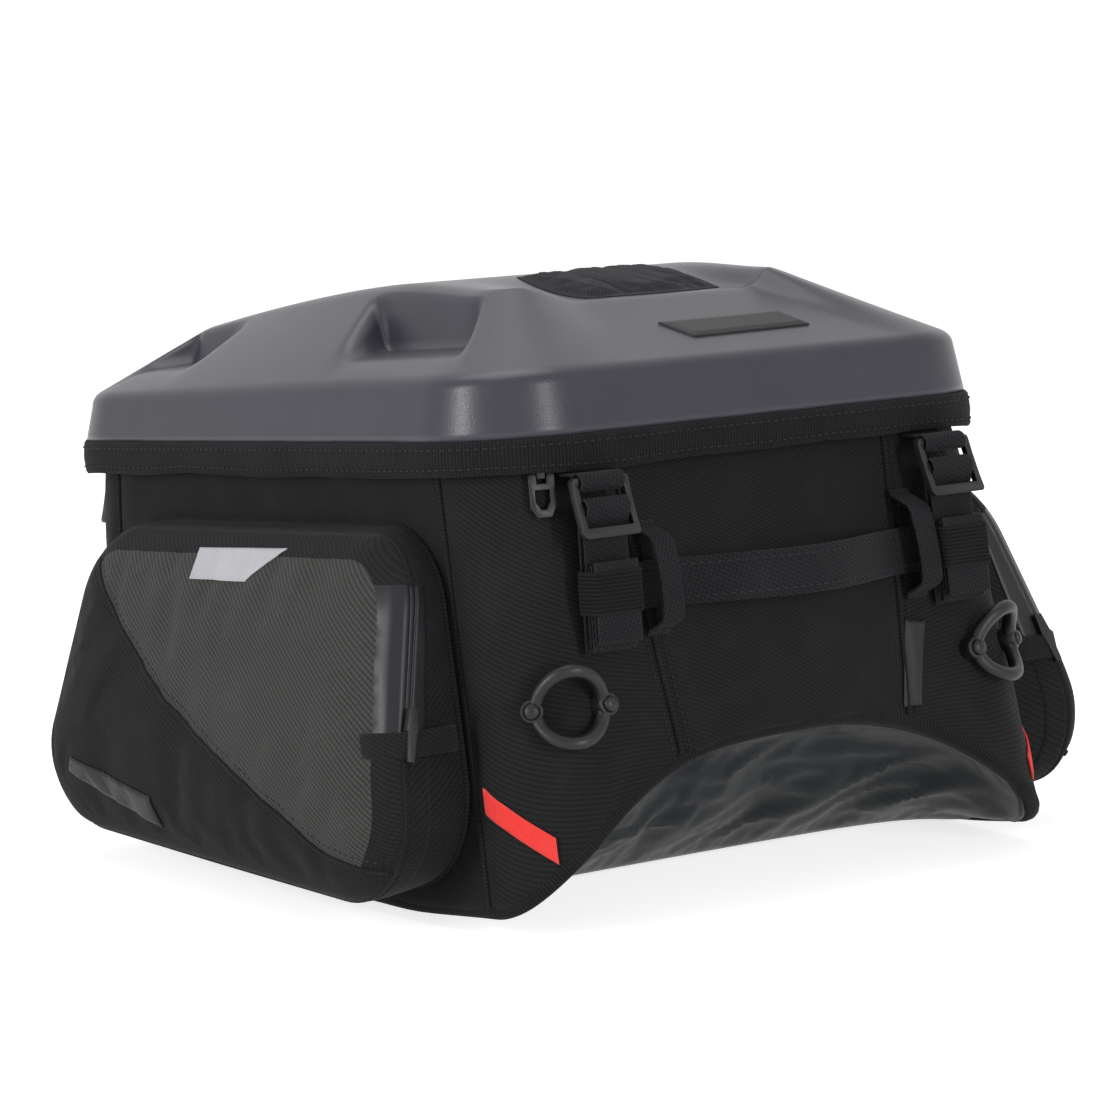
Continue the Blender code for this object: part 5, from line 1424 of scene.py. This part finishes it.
@dataclass
class LashRing:
    """A plastic ring that stands off the corner on two riveted pads."""

    wear: Wardrobe
    side: int
    name: str
    arc: float = 0.016
    pitch: float = 0.033
    z: float = 0.090
    half_height: float = 0.0165
    tube: float = 0.0034
    lift: float = 0.009
    stand: float = 0.0038
    pad: float = 0.0055
    pad_thick: float = 0.003
    rivet: float = 0.0036
    rivet_height: float = 0.0022

    def foot(self, shift: float) -> tuple[Vector, Vector]:
        """Return a pad's place on the wall and the direction it faces."""
        along = self.arc + shift
        station = 1.0 + along / (FORM.corner_x if along < 0 else FORM.corner * math.pi / 2)
        spot, way = FORM.wall(station, self.z), FORM.outward(station, self.z)
        if self.side > 0:
            spot.x, way.x = -spot.x, -way.x
        return spot, way

    def build(self) -> None:
        """Make the ring with its pads, and the rivets."""
        feet = [self.foot(-self.pitch / 2), self.foot(self.pitch / 2)]
        along, middle = (feet[1][0] - feet[0][0]) / 2, (feet[0][0] + feet[1][0]) / 2
        outward = (feet[0][1] + feet[1][1]).normalized()
        loop = []
        for angle in spread(73, 0.0, 2 * math.pi)[:-1]:
            rise = self.stand + self.lift * math.sin(angle) ** 2
            loop.append(middle + along * math.cos(angle) + outward * rise
                        + Vector((0, 0, self.half_height * math.sin(angle))))
        parts = [tube(loop, self.tube, outward, 14, looped=True)]
        top = FORM.fit + self.pad_thick + self.stand
        for spot, way in feet:
            profile = ((0.0, FORM.fit - 0.002), (self.pad, FORM.fit - 0.002), (self.pad, top - 0.0014),
                       (self.pad * 0.97, top - 0.0007), (self.pad * 0.88, top - 0.0002),
                       (self.pad * 0.8, top), (self.pad * 0.72, top - 0.0003), (0.0, top - 0.0004))
            parts.append(turned(spot, way, profile))
        made = piece(f"{self.name}_lash_ring", merged(*parts), [self.wear[Finish.ACETAL]])
        fixed(made, "bag_body", "moulded_hardware", f"{self.name}_lash_ring")
        for end, (spot, way) in zip(("inner", "outer"), feet):
            high, wide = self.rivet_height, self.rivet
            profile = ((0.0, top - 0.0006), (wide, top - 0.0006), (wide, top + high * 0.3),
                       (wide * 0.9, top + high * 0.6), (wide * 0.65, top + high * 0.88),
                       (wide * 0.35, top + high), (0.0, top + high * 1.02))
            rivet = f"{self.name}_ring_{end}_rivet"
            made = piece(rivet, turned(spot, way, profile), [self.wear[Finish.ACETAL]])
            fixed(made, "bag_body", "moulded_hardware", rivet)


def shrunk(corners: Sequence[Vector], inset: float) -> list[Vector]:
    """Return a convex outline's corners with each side moved inward."""
    moved = []
    for index, here in enumerate(corners):
        back = (corners[index - 1] - here).normalized()
        ahead = (corners[(index + 1) % len(corners)] - here).normalized()
        moved.append(here + (back + ahead).normalized() * (inset / math.sin(back.angle(ahead) / 2)))
    return moved


def rounded_sides(corners: Sequence[Vector], radii: Sequence[float], steps: int = 16) -> list[list[Vector]]:
    """Return a rounded convex outline as one line per side, each from mid corner to mid corner."""
    arcs = []
    for index, here in enumerate(corners):
        back = (corners[index - 1] - here).normalized()
        ahead = (corners[(index + 1) % len(corners)] - here).normalized()
        half = back.angle(ahead) / 2
        centre = here + (back + ahead).normalized() * (radii[index] / math.sin(half))
        first = here + back * (radii[index] / math.tan(half)) - centre
        turns = spread(steps + 1, 0.0, math.pi - 2 * half)
        arcs.append([centre + Matrix.Rotation(turn, 2) @ first for turn in turns])
    middle = steps // 2
    return [arc[middle:] + ahead[:middle + 1] for arc, ahead in zip(arcs, arcs[1:] + arcs[:1])]


def along(line: Sequence[Vector], share: float) -> Vector:
    """Return the point a share of the way along a line."""
    lengths = running(line)
    at = min(max(share, 0.0), 1.0) * lengths[-1]
    index = 0
    while index < len(line) - 2 and lengths[index + 1] < at:
        index += 1
    return line[index].lerp(line[index + 1], (at - lengths[index]) / (lengths[index + 1] - lengths[index]))


def enclosed(outline: Sequence[Vector], across: float, upward: float) -> bool:
    """Return whether a flat point is inside an outline."""
    inside = False
    for first, last in zip(outline, [*outline[1:], outline[0]]):
        if (first.y > upward) != (last.y > upward):
            inside ^= across < mix(first.x, last.x, (upward - first.y) / (last.y - first.y))
    return inside


@dataclass
class Pocket:
    """A domed side pocket with its gusset, shiny zip, two-tone front, reflective tab and badge."""

    wear: Wardrobe
    side: int
    name: str
    root: Corners = ((-0.162, 0.003), (0.138, 0.028), (0.120, 0.174), (-0.136, 0.174))
    rim: Corners = ((-0.172, 0.001), (0.148, 0.028), (0.126, 0.172), (-0.142, 0.172))
    rounds: tuple[float, ...] = (0.046, 0.046, 0.040, 0.040)
    least_round: float = 0.012
    top_depth: float = 0.012
    depth: float = 0.038
    full_z: float = 0.064
    crown: float = 0.016
    lip: float = 0.003
    tape: float = 0.004
    fold_z: float = 0.081
    inner: float = 0.060
    cells: int = 84
    blend: float = 0.012
    edge_width: float = 0.0105
    zip_end: float = 0.083
    zip_top: float = 0.150
    zip_y: float = -0.10
    cloth_thick: float = 0.0022
    gusset_thick: float = 0.0024
    tape_thick: float = 0.0014
    seam: Corners = ((-0.178, 0.0140), (-0.163, 0.0197), (-0.1135, 0.0293), (-0.0452, 0.0616),
                     (0.0245, 0.0925), (0.0584, 0.1146), (0.0986, 0.1454), (0.140, 0.178))
    tab: Corners = ((0.0209, 0.1637), (-0.0537, 0.1648), (-0.0298, 0.1495), (0.0177, 0.1496))
    badge: Corners = ((0.1019, 0.0616), (0.0286, 0.0467), (0.0254, 0.0314), (0.1045, 0.0545))
    cloth: ClothRun = ClothRun(pressure=4.0, slack=0.006, cap=0.003, tension=14.0, bending=2.0)
    rings: dict[float, list[list[Vector]]] = field(default_factory=dict)

    def outline(self, corners: Corners, inset: float) -> list[list[Vector]]:
        """Return a pocket outline in (y, z), drawn in by an inset, as four side lines."""
        radii = [max(radius - inset, self.least_round) for radius in self.rounds]
        return rounded_sides(shrunk([Vector(corner) for corner in corners], inset), radii)

    def reach(self, z: float) -> float:
        """Return how far the pocket's edge stands from the middle plane at a height."""
        top = self.rim[2][1]
        share, soft = (top - z) / (top - self.full_z), 0.12
        if share > 1.0 - soft:
            share = 1.0 - max(1.0 + soft - share, 0.0) ** 2 / (4 * soft)
        deep = mix(self.top_depth, self.depth, max(share, 0.0))
        return FORM.width / 2 + FORM.flare(z, FORM.side_flare) + deep

    def seam_height(self, y: float) -> float:
        """Return the height of the slanting seam at a depth."""
        for (y0, z0), (y1, z1) in zip(self.seam, self.seam[1:]):
            if y <= y1:
                return mix(z0, z1, (y - y0) / (y1 - y0))
        return self.seam[-1][1]

    def front(self, across: float, upward: float) -> Vector:
        """Return a point of the padded front; across and upward run from -1 to 1."""
        ring = max(abs(across), abs(upward))
        inset = min((1.0 - ring) * self.inner / 0.8, self.inner)
        key = round(inset, 6)
        if key not in self.rings:
            self.rings[key] = self.outline(self.rim, inset)
        sides = self.rings[key]
        if ring < 1e-9:
            flat = self.middle()
        else:
            a, b = across / ring, upward / ring
            if b <= -1.0 + 1e-9:
                flat = along(sides[0], (a + 1) / 2)
            elif a >= 1.0 - 1e-9:
                flat = along(sides[1], (b + 1) / 2)
            elif b >= 1.0 - 1e-9:
                flat = along(sides[2], (1 - a) / 2)
            else:
                flat = along(sides[3], (1 - b) / 2)
            if ring < 0.2:
                flat = self.middle().lerp(flat, ring / 0.2)
        deep = (1.0 - ring) * self.inner / 0.8
        out = self.lip * ramp(0.0, 0.004, deep)
        out += (self.crown - self.lip) * 1.05 * (1.0 - math.exp(-deep / 0.013))
        spot = Vector((self.side * 0.2, flat.x, flat.y))
        gap = (flat.y - self.seam_height(flat.x)) * 0.88
        soft = 0.0016 * rumple(spot, 0.055) + 0.0006 * rumple(spot, 0.020)
        drag = 0.0011 * rumple(Vector((flat.x * 4, flat.y, self.side)), 0.05) * near(gap, 0.022)
        out += (soft + drag) * ramp(0.0, 0.02, deep) - 0.0014 * near(gap, 0.005) * ramp(0.0, 0.01, deep)
        reach = self.reach(flat.y) + self.tape + min(out, self.crown + 0.0015)
        return Vector((self.side * reach, flat.x, flat.y))

    def middle(self) -> Vector:
        """Return the middle of the front in (y, z)."""
        return Vector((sum(y for y, _ in self.rim) / 4, sum(z for _, z in self.rim) / 4))

    def build(self) -> None:
        """Make every piece of the pocket."""
        self.gusset()
        self.garage()
        dome = self.dome()
        tree = BVHTree.FromObject(dome, bpy.context.evaluated_depsgraph_get())
        self.slant_cord(tree)
        self.patch(tree, f"{self.name}_reflective_tab", self.tab, Finish.MIRROR, 0.0010, f"{self.name}_cover",
                   "accent_tape")
        if self.side < 0:
            self.patch(tree, f"{self.name}_pocket_badge", self.badge, Finish.RUBBER, 0.0016, "bag_body",
                       "moulded_hardware")
        slider = node_copy(f"{self.name}_pocket_slider", 0.0005)
        made = piece(f"{self.name}_pocket_slider", slider, [self.wear[Finish.ACETAL]], settle=False)
        fixed(made, f"{self.name}_slider", "moulded_hardware", f"{self.name}_pocket_slider")

    def wall_point(self, lines: tuple, share: float, out: float) -> Vector:
        """Return a point of the gusset; share runs round it, out from root 0 to rim 1."""
        index, part = divmod(share * 4.0, 1.0)
        root = along(lines[0][int(index) % 4], part)
        edge = along(lines[1][int(index) % 4], part)
        first = Vector((FORM.side_x(root.x, root.y) + 2 * FORM.fit, root.x, root.y))
        last = Vector((self.reach(edge.y), edge.x, edge.y))
        spot = first.lerp(last, out)
        spot.x *= self.side
        middle = self.middle()
        inward = Vector((0.0, middle.x - spot.y, middle.y - spot.z)).normalized()
        swell = 0.0012 * math.sin(math.pi * out) + 0.0009 * rumple(spot, 0.03) * math.sin(math.pi * out)
        return spot - inward * swell

    def gusset(self) -> None:
        """Make the wall round the pocket, the cord at its root and the shiny zip on its rim."""
        lines = (self.outline(self.root, 0.0), self.outline(self.rim, 0.0))
        turns = spread(241)
        bm = sheet(turns, spread(19), lambda share, out: self.wall_point(lines, share, out))
        bm = face_from(bm, Vector((self.side * 0.17, -0.01, 0.09)))
        made = thicken(piece(f"{self.name}_pocket_gusset", bm, [self.wear[Finish.NYLON]]), self.gusset_thick)
        fixed(made, "bag_body", "ballistic_nylon", f"{self.name}_pocket_gusset")
        path = [self.wall_point(lines, share, 0.03) for share in turns[:-1]]
        cord = tube(path, 0.0017, Vector((1.0, 0.0, 0.0)), 10, looped=True)
        made = piece(f"{self.name}_pocket_root_cord", cord, [self.wear[Finish.BINDING]])
        fixed(made, "bag_body", "edge_binding")

        def zip_face(share: float, step: float) -> Vector:
            edge = self.wall_point(lines, share, 1.0)
            middle = self.middle()
            outward = Vector((0.0, edge.y - middle.x, edge.z - middle.y)).normalized()
            if step < 1.0:
                back = self.wall_point(lines, share, mix(0.70, 1.0, step))
                return back + outward * 0.0007 * ramp(0.0, 0.2, step)
            over = step - 1.0
            tooth = 0.0006 * near(over - 0.35, 0.16)
            return edge + Vector((self.side * self.tape * over, 0, 0)) + outward * (0.0007 - tooth)
        steps = spread(9) + spread(13, 1.0, 2.0)[1:]
        bm = face_from(sheet(turns, steps, zip_face), Vector((self.side * 0.17, -0.01, 0.09)))
        for face in bm.faces:
            face.material_index = 0 if self.on_zip(face.calc_center_median()) else 1
        made = thicken(piece(f"{self.name}_pocket_zip", bm, (self.wear[Finish.ZIP], self.wear[Finish.NYLON])),
                       self.tape_thick)
        fixed(made, "bag_body", "coated_zip", f"{self.name}_pocket_zip")

    def region(self, spot: Vector) -> int:
        """Return the finish at a place on the front: 0 grey, 1 black panel and top edge, 2 shiny zip."""
        lower = spot.z < self.seam_height(spot.y)
        rim = [corner for line in self.outline(self.rim, self.edge_width) for corner in line[:-1]]
        if enclosed(rim, spot.y, spot.z):
            return 1 if lower else 0
        return 2 if self.on_zip(spot) else 1

    def on_zip(self, spot: Vector) -> bool:
        """Return whether a place is on the shiny rear run of the zip."""
        return spot.y < self.zip_y and self.zip_end < spot.z < self.zip_top

    def garage(self) -> None:
        """Make the fabric flap that covers the lower end of the zip."""
        z = self.zip_end - 0.003
        (low_y, low_z), (high_y, high_z) = self.rim[0], self.rim[3]
        y = mix(low_y, high_y, (z - low_z) / (high_z - low_z))
        reach = self.reach(z)
        steps = ((-0.024, -0.0020), (-0.012, -0.0026), (-0.002, -0.0030), (0.003, -0.0028), (0.0065, 0.0005),
                 (0.0110, 0.0045), (0.0145, 0.0095), (0.0168, 0.0150))
        path = [Vector((self.side * (reach + out), y + back, z)) for out, back in steps]
        made = piece(f"{self.name}_zip_garage", band(path, Vector((0, 0.15, 1)).normalized(), 0.012, 0.0014),
                     [self.wear[Finish.NYLON]])
        fixed(made, "bag_body", "ballistic_nylon")

    def dome(self) -> Object:
        """Make the padded front: one sewn cover, grey above the slanting seam and black below it."""
        cells = spread(self.cells + 1, -1.0)
        bm = sheet(cells, cells, self.front)
        for (y0, z0), (y1, z1) in zip(self.seam, self.seam[1:]):
            band_faces = [face for face in bm.faces if y0 <= face.calc_center_median().y <= y1]
            near_parts = {part for face in band_faces for part in [face, *face.edges, *face.verts]}
            bmesh.ops.bisect_plane(bm, geom=list(near_parts), dist=1e-6, plane_co=(0.0, y0, z0),
                                   plane_no=(0.0, z0 - z1, y1 - y0))
        chart = bm.loops.layers.uv.verify()
        for face in bm.faces:
            face.material_index = self.region(face.calc_center_median())
            for loop in face.loops:
                loop[chart].uv = loop.vert.co.yz
        bm = face_from(bm, Vector((self.side * 0.1, -0.01, 0.09)))
        finishes = [self.wear[finish] for finish in (Finish.RIBBED, Finish.NYLON, Finish.ZIP)]
        made = piece(f"{self.name}_pocket_front", bm, finishes)
        seam_spots = [FORM.settled(Vector((self.side * 0.2, y, z))) for y, z in self.seam]
        rim = [FORM.settled(Vector((0.0, spot.x, spot.y)))
               for line in self.outline(self.rim, self.edge_width) for spot in line[:-1]]

        def held(spot: Vector) -> bool:
            return not enclosed([at.yz for at in rim], spot.y, spot.z) or self.by_seam(spot, seam_spots)
        self.cloth.relax(made, held)
        thicken(made, self.cloth_thick)
        self.bend(made)
        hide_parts(f"{self.name}_pocket_cover", f"{self.name}_pocket_lower_front")
        LOG.info("%s bends between bag_body and %s_cover", made.name, self.name)
        return made

    def bend(self, made: Object) -> None:
        """Bake a piece's place into its mesh; the fold between the body and the opening cover is worked out
        but not used.
        """
        centre = FORM.settled(Vector((self.side * (self.reach(self.fold_z) + self.crown), 0.0, self.fold_z)))
        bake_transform(made)

    @staticmethod
    def by_seam(spot: Vector, line: Sequence[Vector]) -> bool:
        """Return whether a point is within a stitch of the slanting seam."""
        here = Vector((spot.y, spot.z))
        for first, last in zip(line, line[1:]):
            start, run = Vector((first.y, first.z)), Vector((last.y - first.y, last.z - first.z))
            share = min(max((here - start).dot(run) / run.length_squared, 0.0), 1.0)
            if (here - start - run * share).length < 0.0025:
                return True
        return False

    def laid(self, tree: BVHTree, y: float, z: float, lift: float) -> Vector:
        """Return where a place on the front, given with the rim level, is on the finished cloth."""
        spot = FORM.settled(Vector((0.0, y, z)))
        hit, face, _, _ = tree.ray_cast(Vector((self.side * 0.5, spot.y, spot.z)), Vector((-self.side, 0, 0)))
        if hit is None:
            return FORM.settled(Vector((self.side * (self.reach(z) + self.tape + lift), y, z)))
        return hit + (face if face.x * self.side > 0 else -face) * lift

    def slant_cord(self, tree: BVHTree) -> None:
        """Make the cord along the slanting seam and the row of stitches above it."""
        line = [Vector((y, self.seam_height(y))) for y in spread(90, -0.1500, 0.1120)]
        path = [self.laid(tree, spot.x, spot.y, 0.0003) for spot in line]
        cord = piece(f"{self.name}_slant_cord", tube(path, 0.0011, Vector((1, 0, 0)), 8),
                     [self.wear[Finish.BINDING]], settle=False)
        row = [self.laid(tree, spot.x, spot.y + 0.0050, 0.0001) for spot in line]
        facing = Vector((self.side, 0.0, 0.0))
        thread = piece(f"{self.name}_slant_stitches", stitches(row, lambda spot: facing),
                       [self.wear[Finish.THREAD]], settle=False)
        for made in (cord, thread):
            self.bend(made)

    def patch(self, tree: BVHTree, name: str, shape: Corners, finish: Finish, thick: float, body: str,
              slot: str) -> None:
        """Make a flat patch that lies on the front.

        Args:
            tree: the finished front.
            name: of the piece.
            shape: its four corners in (y, z).
            finish: its material.
            thick: how far it stands off the cloth.
            body: what it moves with.
            slot: the record's material slot; not used.
        """
        def place(across: float, down: float) -> Vector:
            spot = within(shape, across, down)
            edge = min(min(across, 1 - across) * 0.07, min(down, 1 - down) * 0.015)
            return self.laid(tree, spot.x, spot.y, thick - 0.5 * thick * ramp(-0.0018, 0.0, -edge))
        bm = face_from(sheet(spread(61), spread(25), place), Vector((0.0, 0.0, 0.1)))
        made = thicken(piece(name, bm, [self.wear[finish]], settle=False), thick)
        fixed(made, body, slot)


@dataclass
class MainZip:
    """Both halves of the main zip, the hinge tape, the slider and its pull."""

    wear: Wardrobe

    def build(self) -> None:
        """Make the tapes, the slider and the pull."""
        for node, body, slot, finish, edge in (
                ("body_zip_tape", "bag_body", "coated_zip", Finish.ZIP, 0.0004),
                ("lid_zip_tape", "lid", "coated_zip", Finish.ZIP, 0.0004),
                ("lid_hinge_tape", "bag_body", "coated_zip", Finish.ZIP, 0.0004),
                ("main_zip_slider", "zip_slider", "moulded_hardware", Finish.ACETAL, 0.0005),
                ("main_zip_pull", "zip_pull", "moulded_hardware", Finish.ACETAL, 0.0005)):
            made = piece(node, node_copy(node, edge), [self.wear[finish]], settle=False)
            fixed(made, body, slot, node)


def main() -> None:
    """Load the frame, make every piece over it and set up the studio."""
    logging.basicConfig(level=logging.INFO, format="%(name)s: %(message)s")
    FRAME.update(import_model())
    wear = Wardrobe()
    walls = Walls(wear)
    walls.build()
    walls.dress()
    Underside(wear).build()
    Lid(wear).build()
    MainZip(wear).build()
    for end, face in (("rear", -1), ("front", 1)):
        for side, name in SIDES:
            Strap(wear, f"{end}_{name}_strap", side * STRAP_X, face).build()
    Handle(wear).build()
    for side, name in SIDES:
        LashRing(wear, side, name).build()
        Pocket(wear, side, name).build()
    Studio().build()


if __name__ == "__main__":
    main()
